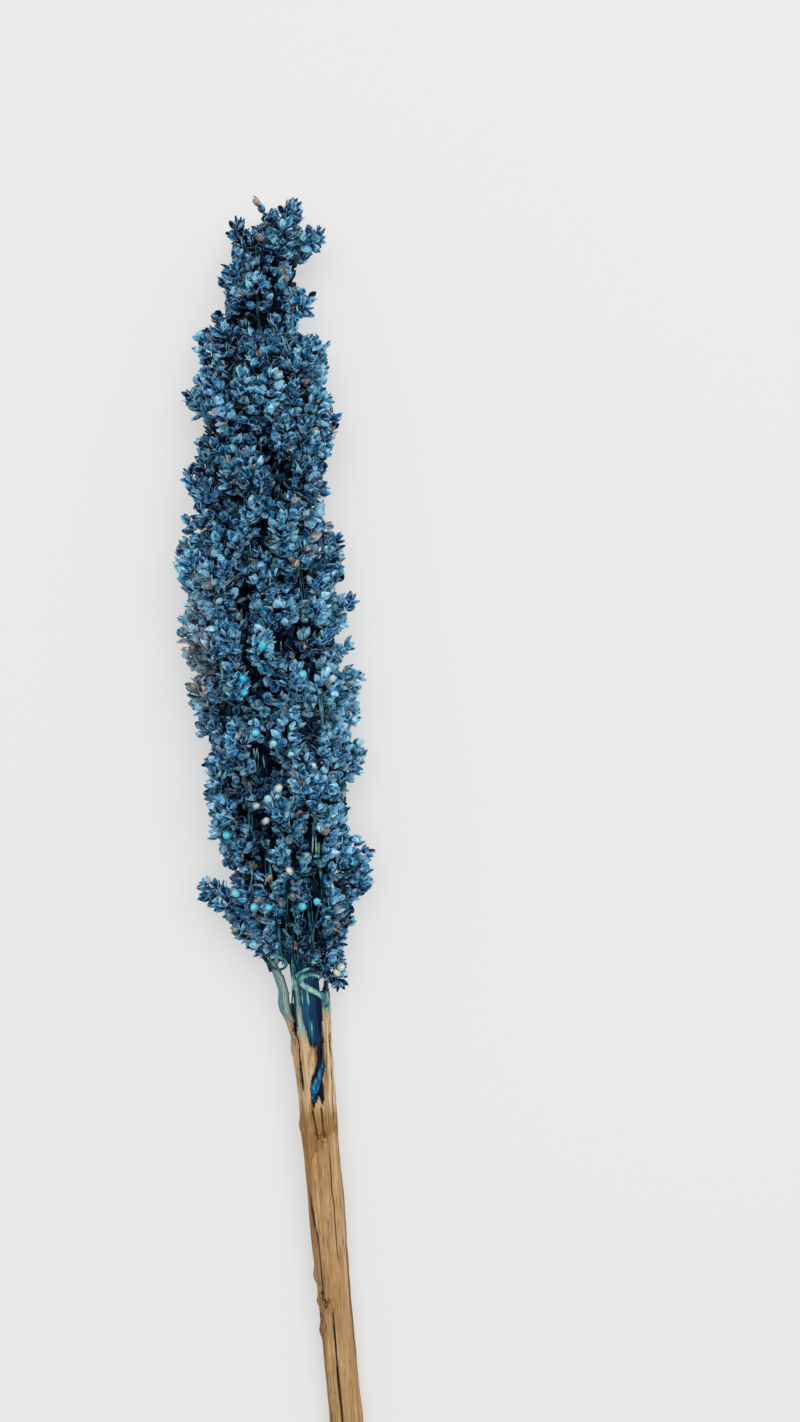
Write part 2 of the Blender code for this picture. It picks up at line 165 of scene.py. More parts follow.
class Flow:
    """A shader socket in an expression. Arithmetic on it adds the Math nodes."""

    def __init__(self, tree, socket=None):
        self.tree, self.socket = tree, socket

    def node(self, kind, settings, sockets, out=0):
        """Adds a node of a kind: its settings first, then the values or links of its sockets."""
        made = self.tree.nodes.new(kind)
        for key, value in settings.items():
            if key == "stops":
                ends = made.color_ramp.elements
                ends[0].position, ends[0].color = value[0][0], (*value[0][1], 1)
                ends[1].position, ends[1].color = value[-1][0], (*value[-1][1], 1)
                for place, colour in value[1:-1]:
                    ends.new(place).color = (*colour, 1)
            else:
                setattr(made, key, value)
        for key, value in sockets.items():
            self.feed(made.inputs[key], value)
        return Flow(self.tree, made.outputs[out])

    def feed(self, socket, value):
        """Links an expression to a socket, or sets the socket's own value."""
        if isinstance(value, Flow):
            self.tree.links.new(value.socket, socket)
        else:
            socket.default_value = value

    def math(self, operation, first, second=0.0, clamp=False):
        return self.node("ShaderNodeMath", {"operation": operation, "use_clamp": clamp}, {0: first, 1: second})

    def __add__(self, other):
        return self.math("ADD", self, other)

    def __radd__(self, other):
        return self.math("ADD", other, self)

    def __sub__(self, other):
        return self.math("SUBTRACT", self, other)

    def __rsub__(self, other):
        return self.math("SUBTRACT", other, self)

    def __mul__(self, other):
        return self.math("MULTIPLY", self, other)

    def __rmul__(self, other):
        return self.math("MULTIPLY", other, self)

    def clamp(self):
        """This value, kept from 0 to 1."""
        return self.math("ADD", self, 0.0, clamp=True)

    def ramp(self, low, high):
        """0 below low, 1 above high, even between. low may be the larger."""
        return self.node("ShaderNodeMapRange", {}, {"Value": self, "From Min": low, "From Max": high})

    def mix(self, first, second):
        """The first colour where this is 0, the second where it is 1."""
        return self.node("ShaderNodeMix", {"data_type": "RGBA"}, {0: self, 6: first, 7: second}, out=2)

    def colours(self, *stops):
        """The colour that belongs to this value, from stops of (value, colour)."""
        return self.node("ShaderNodeValToRGB", {"stops": stops}, {"Fac": self})

    def part(self, axis):
        """One coordinate of this place."""
        return self.node("ShaderNodeSeparateXYZ", {}, {"Vector": self}, out=axis)

    def noise(self, scale, detail, **more):
        """A noise read at this place."""
        return self.node("ShaderNodeTexNoise", {}, {"Vector": self, "Scale": scale, "Detail": detail, **more})


def start_material(name):
    """A new material, its principled shader and a Flow to build from."""
    material = bpy.data.materials.new(name)
    material.use_nodes = True
    return material, material.node_tree.nodes["Principled BSDF"], Flow(material.node_tree)


def finish_material(pieces, material, flow, colour, roughness, bump=None):
    """Gives a material its colour, roughness and bump of (height, strength, distance), and puts it on the pieces."""
    surface = material.node_tree.nodes["Principled BSDF"]
    flow.feed(surface.inputs["Base Color"], colour)
    flow.feed(surface.inputs["Roughness"], roughness)
    if bump:
        height, strength, distance = bump
        flow.feed(surface.inputs["Normal"], flow.node(
            "ShaderNodeBump", {}, {"Strength": strength, "Distance": distance, "Height": height}))
    for piece in pieces:
        piece.data.materials.append(material)


def object_place(flow):
    """The place on the piece, in Object coordinates."""
    return flow.node("ShaderNodeTexCoord", {}, {}, out="Object")


def fibres(flow, across, along, detail=3.0):
    """A noise in fibres along the stalk, from the piece's Object coordinates."""
    scale = (across, along, across)
    return flow.node("ShaderNodeMapping", {}, {"Vector": object_place(flow), "Scale": scale}).noise(1.0, detail)


def ridged(across, up, share):
    """A point of the dyed stalk, on the ridges that run along it."""
    y = STALK_RADII[0][0] + (STALK_RADII[-1][0] - STALK_RADII[0][0]) * share
    angle = math.atan2(up, across)
    ridge = 1 + 0.07 * math.sin(11 * angle + 30 * y) + 0.04 * math.sin(23 * angle - 55 * y)
    reach = float(smooth(STALK_RADII, y)) * math.hypot(across, up)
    place = stalk_at(y)
    return place[0] + math.cos(angle) * reach * ridge, y, place[2] + math.sin(angle) * reach * ridge


stalk = shaped_rod(48, 110, ridged)
bpy.ops.object.shade_smooth()
finished("dyed_stalk", stalk)

dyed_stalk, surface, flow = start_material("dyed_stalk")
grain_lines = fibres(flow, 2100, 30)
broad_lines = fibres(flow, 520, 16, 2.0)
tone = (1.5 * grain_lines + 1.3 * broad_lines - 0.90).clamp()
colour = tone.colours(
    (0.22, (0.0008, 0.006, 0.028)), (0.40, (0.001, 0.034, 0.120)), (0.58, (0.003, 0.088, 0.240)),
    (0.76, (0.006, 0.135, 0.320)), (0.94, (0.030, 0.270, 0.440)),
)
place = object_place(flow)
# Darker towards the stalk's right side: painted shade.
colour = (place.part("X").ramp(0.0060, 0.0086) * 0.62).mix(colour, (0.0008, 0.008, 0.040, 1))
# Near black lower down, where the stalk is inside the sheath: painted shade.
colour = (place.part("Y").ramp(-0.0635, -0.0665) * 0.93).mix(colour, (0.0006, 0.002, 0.006, 1))
surface.inputs["Specular IOR Level"].default_value = 0.25
finish_material([stalk], dyed_stalk, flow, colour, 0.42, (tone, 0.7, 0.0005))

# A fold of brightly dyed fibre that shows in the sheath's hole: its line in mm, and how thick it is there
FOLD = ((10.2, -69.5, 22.2), (9.9, -72.8, 22.6), (9.6, -75.2, 23.0), (8.2, -78.6, 23.6), (6.6, -81.6, 23.6),
        (5.8, -84.5, 23.0), (5.8, -87, 22.2))
FOLD_RADII = (0.5, 0.7, 0.9, 1.4, 1.8, 1.4, 0.6)

fold = round_strands("dyed_fold", [([np.array(place) / 1000 for place in FOLD], FOLD_RADII)], 0.0010, 3, 12)
finished("dyed_fold", fold)
bright_fold, surface, flow = start_material("bright_fold")
lines = fibres(flow, 1700, 400)
colour = lines.colours((0.36, (0.001, 0.022, 0.085)), (0.50, (0.004, 0.120, 0.300)), (0.66, (0.050, 0.370, 0.600)))
surface.inputs["Specular IOR Level"].default_value = 0.25
finish_material([fold], bright_fold, flow, colour, 0.50, (lines, 0.6, 0.0004))

# Shape of the head
# The head is a long club of branches packed against each other. Each branch ends in a lobe of spikelets that is
# about 4 cm long, and the lobes overlap like shingles, with dark gaps between them.

TIP_Y = 0.250
HEAD_LENGTH = 0.292

# Distance from the tip, and how far the outermost husks reach to the left, to the right, and up and down
OUTLINE = (
    (0.000, 0.0070, 0.0070, 0.0060),
    (0.010, 0.0120, 0.0120, 0.0100),
    (0.020, 0.0155, 0.0135, 0.0125),
    (0.030, 0.0170, 0.0140, 0.0140),
    (0.040, 0.0182, 0.0160, 0.0150),
    (0.050, 0.0210, 0.0172, 0.0165),
    (0.060, 0.0225, 0.0210, 0.0185),
    (0.070, 0.0255, 0.0250, 0.0210),
    (0.080, 0.0262, 0.0278, 0.0225),
    (0.100, 0.0265, 0.0282, 0.0235),
    (0.120, 0.0290, 0.0265, 0.0242),
    (0.140, 0.0312, 0.0290, 0.0250),
    (0.160, 0.0325, 0.0298, 0.0255),
    (0.180, 0.0310, 0.0312, 0.0255),
    (0.200, 0.0280, 0.0302, 0.0252),
    (0.220, 0.0288, 0.0288, 0.0250),
    (0.240, 0.0258, 0.0275, 0.0250),
    (0.250, 0.0235, 0.0282, 0.0240),
    (0.260, 0.0210, 0.0265, 0.0220),
    (0.270, 0.0180, 0.0215, 0.0185),
    (0.280, 0.0145, 0.0170, 0.0145),
    (0.292, 0.0085, 0.0120, 0.0095),
)
BRANCHES = 84
BRANCH_SEED = 7
GOLDEN_ANGLE = math.radians(137.508)
LOBE_LENGTH = 0.044
LOBE_WIDTH = 0.0165
HUSK_REACH = 0.0022


def head_reach(distance, angle):
    """How far the head reaches from the stalk's line at a distance from the tip, at an angle (90 degrees is up)."""
    left, right, height = smooth(OUTLINE, distance)
    wide = left if math.cos(angle) < 0 else right
    return 1 / math.hypot(math.cos(angle) / wide, math.sin(angle) / height)


def out_from_stalk(angle):
    """The direction away from the stalk at an angle (90 degrees is up)."""
    return np.array((math.cos(angle), 0.0, math.sin(angle)))


def unit(vector):
    """The vector at length 1."""
    return vector / max(np.linalg.norm(vector), 1e-9)


class Lobe:
    """A spindle of spikelets: its middle, its axis, which way is out, and its half sizes."""

    def __init__(self, middle, axis, out, half_length, half_width, half_depth, all_round):
        self.middle = np.array(middle)
        self.axis = unit(np.array(axis))
        self.out = unit(np.array(out) - self.axis * np.dot(out, self.axis))
        self.side = np.cross(self.axis, self.out)
        self.sizes = np.array((half_length, half_width, half_depth))
        self.all_round = all_round

    def inside(self, points):
        """Below 1 for points inside the spindle."""
        off = points - self.middle
        local = np.stack([off @ self.axis, off @ self.side, off @ self.out], axis=-1) / self.sizes
        return (local**2).sum(axis=-1)


def branch_lobes():
    """The lobes of the branches, placed evenly round the head by the same seeded rule as the source's."""
    rng = random.Random(BRANCH_SEED)
    steps = 400
    widths = [float(smooth(OUTLINE, (i + 0.5) / steps * HEAD_LENGTH)[:2].mean()) for i in range(steps)]
    areas = np.cumsum(widths)
    lobes = []
    for i in range(BRANCHES):
        distance = (int(np.searchsorted(areas, (i + 0.5) / BRANCHES * areas[-1])) + 0.5) / steps * HEAD_LENGTH
        size = min(1.0, 0.45 + float(smooth(OUTLINE, distance)[:2].mean()) / 0.045)
        distance += rng.uniform(-0.003, 0.003)
        angle = (i * GOLDEN_ANGLE + rng.uniform(-0.16, 0.16)) % math.tau
        half_length = LOBE_LENGTH / 2 * size * rng.uniform(0.88, 1.15)
        half_width = LOBE_WIDTH / 2 * size * rng.uniform(0.88, 1.12)
        height = rng.uniform(0.80, 1.04)
        reach = head_reach(distance, angle)
        half_depth = min(half_width * 0.85, reach * 0.42)
        slope = (head_reach(max(distance - 0.006, 0), angle) - head_reach(distance + 0.006, angle)) / 0.012
        out = out_from_stalk(angle)
        middle = stalk_at(TIP_Y - distance) + out * ((reach - HUSK_REACH) * (0.55 + 0.45 * height) - half_depth)
        axis = np.array((rng.uniform(-0.10, 0.10), 1.0, 0.0)) + out * (slope + 0.10)
        lobes.append(Lobe(middle, axis, out, half_length, half_width, half_depth, False))
    return lobes


# Sprigs
# Clusters whose branch stands clear of the others. They break up the outline, most of all at the lower left.
# Each is x, y, z of its foot and its top in mm, its half width, and how much paler or darker its dye is.

SPRIGS = (
    ((8.5, 228, 22), (7.0, 242, 24.5), 4.2, 0.0),
    ((11, 230, 21), (17, 249, 21), 4.6, 0.0),
    ((19, 230, 22), (25.5, 237, 22), 4.2, -0.05),
    ((3, 221, 25), (2.5, 237, 26.5), 4.2, -0.03),
    ((9, 222, 25), (10, 239, 26), 4.2, 0.0),
    ((-1, 206, 28), (-2, 219, 29.5), 4.0, 0.0),
    ((9, 210, 26), (12, 224, 28), 4.0, 0.0),
    ((5, 188, 30), (8, 202, 33.5), 4.2, 0.0),
    ((12, 203, 24), (22, 212.5, 25), 3.2, 0.0),
    ((-6, 190, 22), (-19, 202, 21), 4.7, 0.0),
    ((13, 177, 22), (26.3, 194.5, 22), 3.6, -0.05),
    ((-19, 168, 23), (-27, 180, 22), 4.6, 0.0),
    ((8, 150, 40), (10, 165, 44), 4.0, 0.0),
    ((10, 163, 38), (14.5, 178, 40), 4.4, 0.0),
    ((14, 150, 36), (18, 164, 38), 4.2, 0.02),
    ((21, 151, 25), (27.3, 170, 26), 3.6, 0.03),
    ((19, 106, 24), (26.8, 123, 26), 4.4, 0.0),
    ((-6, 120, 43), (-4, 134, 45), 4.0, 0.04),
    ((-25, 117, 22), (-31.5, 125, 22), 3.6, 0.0),
    ((18, 85, 23), (30.5, 100, 23), 4.0, -0.05),
    ((-27, 80, 24), (-33, 95, 24), 4.6, 0.08),
    ((-12, 62, 42), (-13, 80, 44), 4.2, 0.0),
    ((17, 55, 25), (31.5, 71.5, 30), 4.8, 0.12),
    ((14, 20, 40), (18, 38, 42), 4.4, 0.0),
    ((0, -2, 39), (1, 12, 42), 3.8, 0.0),
    ((-12, -20, 22), (-31.5, -3.5, 24), 5.4, -0.02),
    ((14, -34, 22), (20, -16, 23), 4.6, -0.05),
    ((14, -30, 23), (17.5, -44.5, 22), 5.6, -0.27),
    ((-15, -9, 24), (-19.0, 3.0, 25), 3.2, -0.03),
    ((-11, -31.5, 23), (-14.5, -23, 24), 3.4, -0.03),
    ((-12, -27, 22), (-20, -16.5, 22), 4.6, -0.05),
    ((-4.5, -32, 25), (-10.5, -21, 27), 4.2, 0.0),
    ((-2.0, -30.5, 27), (-5, -20, 31), 4.2, 0.0),
    ((7, -36, 27), (8.5, -25, 31), 4.2, 0.0),
    ((11, -39, 24), (14.5, -28, 28), 4.4, -0.08),
    ((-6, -34, 18), (-12, -23, 20), 4.2, 0.0),
    ((5, -40, 13), (6, -28, 10), 4.4, 0.0),
)


def sprig_lobes():
    """The lobes of the sprigs, a little inside the space that their spikelets fill."""
    lobes = []
    for foot, top, radius, shade in SPRIGS:
        foot, top = np.array(foot) / 1000, np.array(top) / 1000
        middle = (foot + top) / 2
        out = middle - stalk_at(middle[1])
        length = np.linalg.norm(top - foot)
        half_width = radius / 1000 - 0.0013
        lobes.append(Lobe(middle, top - foot, out, length / 2 - 0.0005, half_width, half_width, True))
    return lobes


# Small tufts
# The ends of side branches that poke out a few millimetres all over the head.

TUFTS = 120


def tuft_lobes(rng):
    """Small lobes anywhere round the head, fewer towards its lower end."""
    lobes = []
    for i in range(TUFTS):
        distance = HEAD_LENGTH * (0.02 + 0.93 * rng.random() ** 0.85)
        angle = rng.uniform(0, math.tau)
        reach = head_reach(distance, angle)
        out = out_from_stalk(angle)
        half_length = rng.uniform(0.005, 0.009)
        half_width = rng.uniform(0.0026, 0.0042)
        middle = stalk_at(TIP_Y - distance) + out * (reach - half_width * rng.uniform(0.6, 1.2))
        axis = np.array((rng.uniform(-0.3, 0.3), 1.0, 0.0)) + out * rng.uniform(0.15, 0.55)
        lobes.append(Lobe(middle, axis, out, half_length, half_width, half_width, True))
    return lobes


# Husks
# A spikelet is a few pointed, keeled husks round a grain, 4 to 5 mm long. The dye is thin at their edges and tips,
# which are paler, and the pale edges are raised further as painted highlights. They stand in small clumps on the
# branches' lobes, most of them parted, and some grains are bare.

HUSK_LENGTH = 0.0041
HUSK_WIDTH = 0.0031
HUSK_DEPTH = 0.0013
HUSK_WRINKLE = 0.00014
# Husks and grains in one spikelet, at most
MOST_HUSKS = 8
# From clump to clump along a lobe and round it, from spikelet to spikelet on a clump, and between the single husks
# deep inside
CLUMP_SPACING = 0.0086
CLUMP_WIDTH = 0.0078
SPIKELET_SPACING = 0.0034
INNER_SPACING = 0.0046


def shaped_ball(segments, rings, shape):
    """Points, faces and values of a ball whose points (across, outward, share of height) are moved by shape."""
    bpy.ops.object.select_all(action="DESELECT")
    bpy.ops.mesh.primitive_uv_sphere_add(segments=segments, ring_count=rings, radius=0.5)
    ball = bpy.context.object
    values = []
    for point in ball.data.vertices:
        wide = max(math.hypot(point.co.x, point.co.y), 1e-6)
        pole = wide < 1e-4
        place, value = shape(0 if pole else point.co.x / wide, 0 if pole else point.co.y / wide, point.co.z + 0.5)
        point.co = place
        values.append(value)
    bpy.ops.object.mode_set(mode="EDIT")
    bpy.ops.mesh.select_all(action="SELECT")
    bpy.ops.mesh.normals_make_consistent(inside=False)
    bpy.ops.object.mode_set(mode="OBJECT")
    points = np.array([point.co for point in ball.data.vertices])
    faces = [tuple(face.vertices) for face in ball.data.polygons]
    bpy.data.objects.remove(ball)
    return points, faces, np.array(values)


def husk(rng, facing, opening, wide=1.0, long=1.0):
    """A keeled, hollow husk with its foot at the origin, leaning out by opening towards facing, both in degrees."""
    width, length = HUSK_WIDTH * wide * rng.uniform(0.88, 1.16), HUSK_LENGTH * long * rng.uniform(0.88, 1.18)
    depth = HUSK_DEPTH * min(wide * 1.2, 1)
    turn, lean, around = math.radians(facing), math.radians(opening), rng.uniform(-0.25, 0.25)
    bow = rng.uniform(-0.22, 0.10) * length

    def shape(across, outward, share):
        pole = share < 0.001 or share > 0.999
        taper = 0.0 if pole else math.sin(math.pi * share**0.85) ** 0.7
        x = across * width / 2 * taper
        y = depth * (0.10 + taper * (0.85 * outward if outward > 0 else -0.25 * outward)) + bow * share**2
        z = length * share**0.95
        if not pole:
            x, y, z = (value + rng.uniform(-HUSK_WRINKLE, HUSK_WRINKLE) for value in (x, y, z))
        y, z = y * math.cos(lean) + z * math.sin(lean), z * math.cos(lean) - y * math.sin(lean)
        x += y * around
        rim = 0.0 if share < 0.001 else 1.0 if share > 0.999 else abs(across) - 0.6 * max(-outward, 0)
        place = (x * math.cos(turn) - y * math.sin(turn), x * math.sin(turn) + y * math.cos(turn), z)
        return place, (rim, share)

    return shaped_ball(4, 5, shape)


def grain(radius, middle_z, segments=6, rings=4):
    """A round grain, a little longer than wide."""

    def shape(across, outward, share):
        flat = math.sqrt(max(0.0, 1 - (2 * share - 1) ** 2))
        z = middle_z + radius * 1.3 * (2 * share - 1)
        return (across * radius * flat, outward * radius * flat * 0.9, z), (0.0, 1.0)

    return shaped_ball(segments, rings, shape)


def put_together(husks, grains=()):
    """One spikelet: its points, faces, values, which husk each point belongs to, and 1 for a grain's points."""
    points, faces, rims, number, bare = [], [], [], [], []
    start = 0
    for i, (part_points, part_faces, part_rim) in enumerate((*husks, *grains)):
        points.append(part_points)
        faces += [tuple(start + k for k in face) for face in part_faces]
        rims.append(part_rim)
        number.append(np.full(len(part_points), i))
        bare.append(np.full(len(part_points), float(i >= len(husks))))
        start += len(part_points)
    return np.concatenate(points), faces, np.concatenate(rims), np.concatenate(number), np.concatenate(bare)


# Each kind: how many to model, and for each husk its facing and opening in degrees, its width and its length
KINDS = {
    "closed": (2, ((0, 6, 1, 1), (180, 8, 1, 1), (95, 17, 0.5, 0.9))),
    "parted": (3, ((0, 14, 1, 1), (180, 17, 0.95, 1), (85, 26, 0.55, 0.9))),
    "three": (3, ((0, 21, 1, 0.95), (125, 18, 0.9, 1), (240, 24, 0.9, 0.9))),
    "rosette": (3, ((0, 29, 0.95, 0.9), (90, 25, 0.8, 0.95), (185, 33, 0.95, 0.85), (275, 21, 0.7, 0.9))),
    "wide": (2, ((0, 42, 1, 0.9), (180, 37, 1, 0.9), (80, 33, 0.6, 0.8), (265, 12, 0.6, 0.8))),
    "slender": (2, ((0, 9, 0.5, 1.05), (170, 14, 0.45, 0.9))),
}
MIX = (("closed", 0.14), ("parted", 0.25), ("three", 0.22), ("rosette", 0.20), ("wide", 0.09), ("slender", 0.10))
shape_rng = random.Random(3)
SPIKELETS = {
    f"{kind}{i}": put_together([husk(shape_rng, *row) for row in rows])
    for kind, (count, rows) in KINDS.items() for i in range(count)
}
SPIKELETS["single0"] = put_together([husk(shape_rng, 0, 0)])
SPIKELETS["bare0"] = put_together(
    [husk(shape_rng, 0, 26, 0.9, 0.7), husk(shape_rng, 180, 30, 0.9, 0.65), husk(shape_rng, 85, 33, 0.7, 0.6)],
    [grain(0.00146, 0.0023, 10, 8)],
)


def clumps_on(lobe, rng):
    """The clumps of spikelets that stand on a lobe's outer side, each a small spindle."""
    half_length, half_width, half_depth = lobe.sizes
    rows = max(2, round(2 * half_length / CLUMP_SPACING))
    for row in range(rows):
        s = -1 + 2 * (row + 0.5 + rng.uniform(-0.18, 0.18)) / rows
        full = math.sqrt(1 - s * s)
        count = max(1, round(1.9 * (half_width + half_depth) * full / CLUMP_WIDTH))
        for k in range(count):
            turn = math.radians(-20 + 220 * (k + 0.5 + rng.uniform(-0.22, 0.22)) / count)
            ring = lobe.side * math.cos(turn) * half_width + lobe.out * math.sin(turn) * half_depth
            radial = unit(lobe.side * math.cos(turn) / half_width + lobe.out * math.sin(turn) / half_depth)
            middle = lobe.middle + lobe.axis * s * half_length + ring * full - radial * rng.uniform(0.0018, 0.0038)
            axis = lobe.axis * (0.85 + 0.3 * s) + radial * (0.65 - 0.2 * s) + rng.normal(0, 0.2, 3)
            half = rng.uniform(0.0021, 0.0030)
            yield Lobe(middle, axis, radial, rng.uniform(0.0040, 0.0056), half, half, True)


def cover(clump, rng, inner_limit):
    """Places and directions of spikelets over a clump, in staggered rings from its foot to its top."""
    half_length, half_width, half_depth = clump.sizes
    rows = max(2, round(2 * half_length / SPIKELET_SPACING))
    for row in range(rows + 1):
        s = -0.95 + 1.9 * row / rows
        full = math.sqrt(1 - abs(s) ** 2.4)
        count = max(1, round(math.pi * (half_width + half_depth) * full / SPIKELET_SPACING))
        start = rng.uniform(0, math.tau)
        for k in range(count):
            turn = start + math.tau * (k + rng.uniform(-0.2, 0.2)) / count
            if math.sin(turn) < inner_limit and s < 0.7:
                continue
            ring = clump.side * math.cos(turn) * half_width + clump.out * math.sin(turn) * half_depth
            radial = unit(ring)
            place = clump.middle + clump.axis * s * half_length + ring * full + rng.normal(0, 0.0004, 3)
            yield place, unit(clump.axis * (0.55 + 0.4 * s) + radial * (0.95 - 0.3 * s) + rng.normal(0, 0.22, 3))


def patch_value(place, size, seed):
    """A smooth value from about -1 to 1 that changes over a distance of size."""
    return noise.noise(Vector(place) / size + Vector((seed, 0, 0)))


# Openings on the upper side between the lobes, where branches and the dark inside show: middle and half size in mm
CLEARINGS = (
    (1.5, 204, 1.4, 9), (-2.8, 142, 1.8, 3), (11.4, 144, 1.0, 3), (-8.8, 152, 1.5, 3), (-4.8, 118, 1.6, 4),
    (12.3, 104, 1.6, 4), (-17.5, 76, 2.0, 3), (-1.8, 78, 1.5, 3), (-11.3, 22, 1.8, 3), (12.8, 11, 3.2, 4.6),
    (13.6, -5, 2.6, 8), (-5.0, 4, 2.3, 4.4), (-11.2, -1.5, 2.3, 3.4), (0.5, -15, 1.7, 7), (9.2, -16, 1.6, 7),
    (-2.5, -23, 1.6, 6), (2.5, -38, 4.2, 6.5), (5, 50, 1.6, 6), (-7, 38, 1.4, 4), (17, 60, 1.5, 4),
)


def cleared(points):
    """True for points above an opening."""
    found = np.zeros(len(points), bool)
    for x, y, half_x, half_y in CLEARINGS:
        found |= ((points[:, 0] * 1000 - x) / half_x) ** 2 + ((points[:, 1] * 1000 - y) / half_y) ** 2 < 1
    return found


# Notches in the outline, where no lobe reaches as far: from y to y in mm, and how far in mm to the left or right
NOTCHES = (
    (214, 226, 12.6), (196, 208, 13.4), (174.5, 182, 23.0), (126, 135, 20.2), (73.5, 79, 24.0), (10.5, 20, 23.0),
    (100, 106.5, 22.8), (44, 51.5, -23.8), (46, 54, 25.6), (-22, -12, 22.8),
    (142, 149, 20.4), (223, 234, -5.5), (205, 217, -9.2), (5, 14.5, -22.2), (71, 77, -29.0), (131, 139, -23.8),
)

# The spikelets end a little below the tip, above the table and above the neck, and none stands near the stalk
TIP_MOST = 0.2495
TIP_REACH = 0.243
TABLE_GAP = 0.0027
NECK_Y = -0.046
INNERMOST = 0.45

husk_rng = np.random.default_rng(21)
branches = branch_lobes()
clear_sprigs = sprig_lobes()
clumps = [(clump, -0.45) for lobe in branches for clump in clumps_on(lobe, husk_rng)]
clumps += [(clump, -0.8) for clump in tuft_lobes(random.Random(5))]
clumps = [
    (clump, limit) for clump, limit in clumps
    if not any(np.linalg.norm(other.middle - clump.middle) < 0.03 and other.inside(clump.middle) < 0.40
               for other in branches)
]
clumps += [(clump, -2.0) for clump in clear_sprigs]
places, directions, owners = [], [], []
for number, (clump, inner_limit) in enumerate(clumps):
    for place, direction in cover(clump, husk_rng, inner_limit):
        places.append(place)
        directions.append(direction)
        owners.append(number)
places, directions, owners = np.array(places), np.array(directions), np.array(owners)
stalk_middles = stalk_at(places[:, 1])
reaches = np.array([
    head_reach(min(max(TIP_Y - place[1], 0), HEAD_LENGTH), math.atan2(place[2] - middle[2], place[0] - middle[0]))
    for place, middle in zip(places, stalk_middles)
])
shares = np.hypot(places[:, 0] - stalk_middles[:, 0], places[:, 2] - stalk_middles[:, 2]) / reaches
on_sprig = owners >= len(clumps) - len(SPRIGS)
kept = (shares > INNERMOST) & (places[:, 2] > TABLE_GAP) & (places[:, 1] > NECK_Y) & (places[:, 1] < TIP_MOST)
kept &= on_sprig | (places[:, 1] < TIP_REACH)
for number, (clump, limit) in enumerate(clumps):
    kept &= (owners == number) | (clump.inside(places) > 0.62)
kept &= ~cleared(places) | (places[:, 2] < stalk_middles[:, 2] + 0.002)
for lowest, highest, limit in NOTCHES:
    beyond = ~on_sprig & (places[:, 0] * 1000 / limit > 1)
    beyond &= (places[:, 1] * 1000 >= lowest) & (places[:, 1] * 1000 <= highest)
    places[beyond, 0] = limit / 1000 * husk_rng.uniform(0.84, 1.02, int(beyond.sum()))
clump_tints = husk_rng.normal(0, 0.085, len(clumps))
clump_tints[-len(SPRIGS):] = [row[3] for row in SPRIGS]


def choose(rng, kinds):
    """The name of one spikelet, drawn from kinds of (name, share)."""
    at = rng.random() * sum(share for name, share in kinds)
    for name, share in kinds:
        at -= share
        if at <= 0:
            break
    return f"{name}{rng.integers(KINDS[name][0])}"


# Every spikelet: its kind, middle, direction, roll, size, tint, share of straw husks, and how deep inside it is, which
# sets its painted shade
spikelets = []
kept_rows = zip(places[kept], directions[kept], owners[kept], shares[kept], on_sprig[kept])
for place, direction, owner, share, clear in kept_rows:
    tint = 0.51 + clump_tints[owner] + 0.30 * patch_value(place, 0.028, 3) + husk_rng.normal(0, 0.11)
    tint += 0.14 * math.exp(-((place[1] - 0.07) / 0.06) ** 2)
    straw = 0.014 + 0.09 * max(patch_value(place, 0.02, 9) - 0.1, 0)
    near_tip = 0.2 if clear else min(max((TIP_Y - place[1] - 0.010) / 0.04, 0.2), 1)
    deep = min(max((0.91 - share) * 3.0, 0), 1) * near_tip
    kinds = MIX if deep < 0.5 else (("slender", 1.0),)
    spikelets.append((choose(husk_rng, kinds), place, direction, husk_rng.uniform(0, math.tau),
                      husk_rng.uniform(0.85, 1.18), tint, straw, deep))

# Single husks deep between the lobes, coloured near black as painted shade, which close the view into the head with
# something dark
for row, distance in enumerate(np.arange(0.020, 0.286, INNER_SPACING)):
    count = max(5, round(head_reach(distance, 0.8) * math.tau * 0.66 / INNER_SPACING))
    for k in range(count):
        angle = math.tau * (k + 0.5 * (row % 2) + husk_rng.uniform(-0.25, 0.25)) / count
        out = out_from_stalk(angle)
        middle, share = stalk_at(TIP_Y - distance), husk_rng.uniform(0.56, 0.72)
        direction = unit(np.array((husk_rng.normal(0, 0.3), 1.0, husk_rng.normal(0, 0.3))) + out * 0.7)
        if out[2] > 0 and cleared((middle + out * head_reach(distance, angle) * share)[None])[0]:
            share -= 0.14
        place = middle + out * head_reach(distance, angle) * share
        spikelets.append(("single0", place, direction, husk_rng.uniform(0, math.tau), 1.15, 0.3, 0.0, 0.97))

# Spikelets whose husks stayed tan, on the upper side: x and y in mm
TAN_HUSKS = (
    (-4.6, 201.3), (-19.8, 197.8), (14.2, 196), (-13.1, 163), (-5.6, 211), (1.3, 233), (3, 189.7),
    (14.1, 133.2), (15.5, 130.1), (16.3, 118.1), (24.7, 125.2), (-31.9, 122.2), (-17.2, 107.9), (10.9, 108.8),
    (-26.2, 70.9), (-23.3, 69.3), (-12.7, 51.7), (-9.3, 49), (18, 64.5), (22.7, 69.3), (2.6, 47.9),
    (10.9, 81.9), (-12.6, 24.7), (9.1, 22.7), (14.7, 18), (0.4, -4.1), (2.8, -5.5), (-0.6, -12.8),
    (-8.8, -14.7), (22.5, -16.4), (21.3, -20.6), (14.5, -21.7), (17.7, -24.9),
)
numbers = [i for i, row in enumerate(spikelets) if row[0] != "single0"]
open_places = np.array([spikelets[i][1] for i in numbers])
for x, y in TAN_HUSKS:
    near = np.abs(open_places[:, :2] * 1000 - (x, y)).max(axis=1) < 3
    if near.any():
        found = numbers[int(np.argmax(np.where(near, open_places[:, 2], -1)))]
        spikelets[found] = (*spikelets[found][:6], 0.55, 0.0)
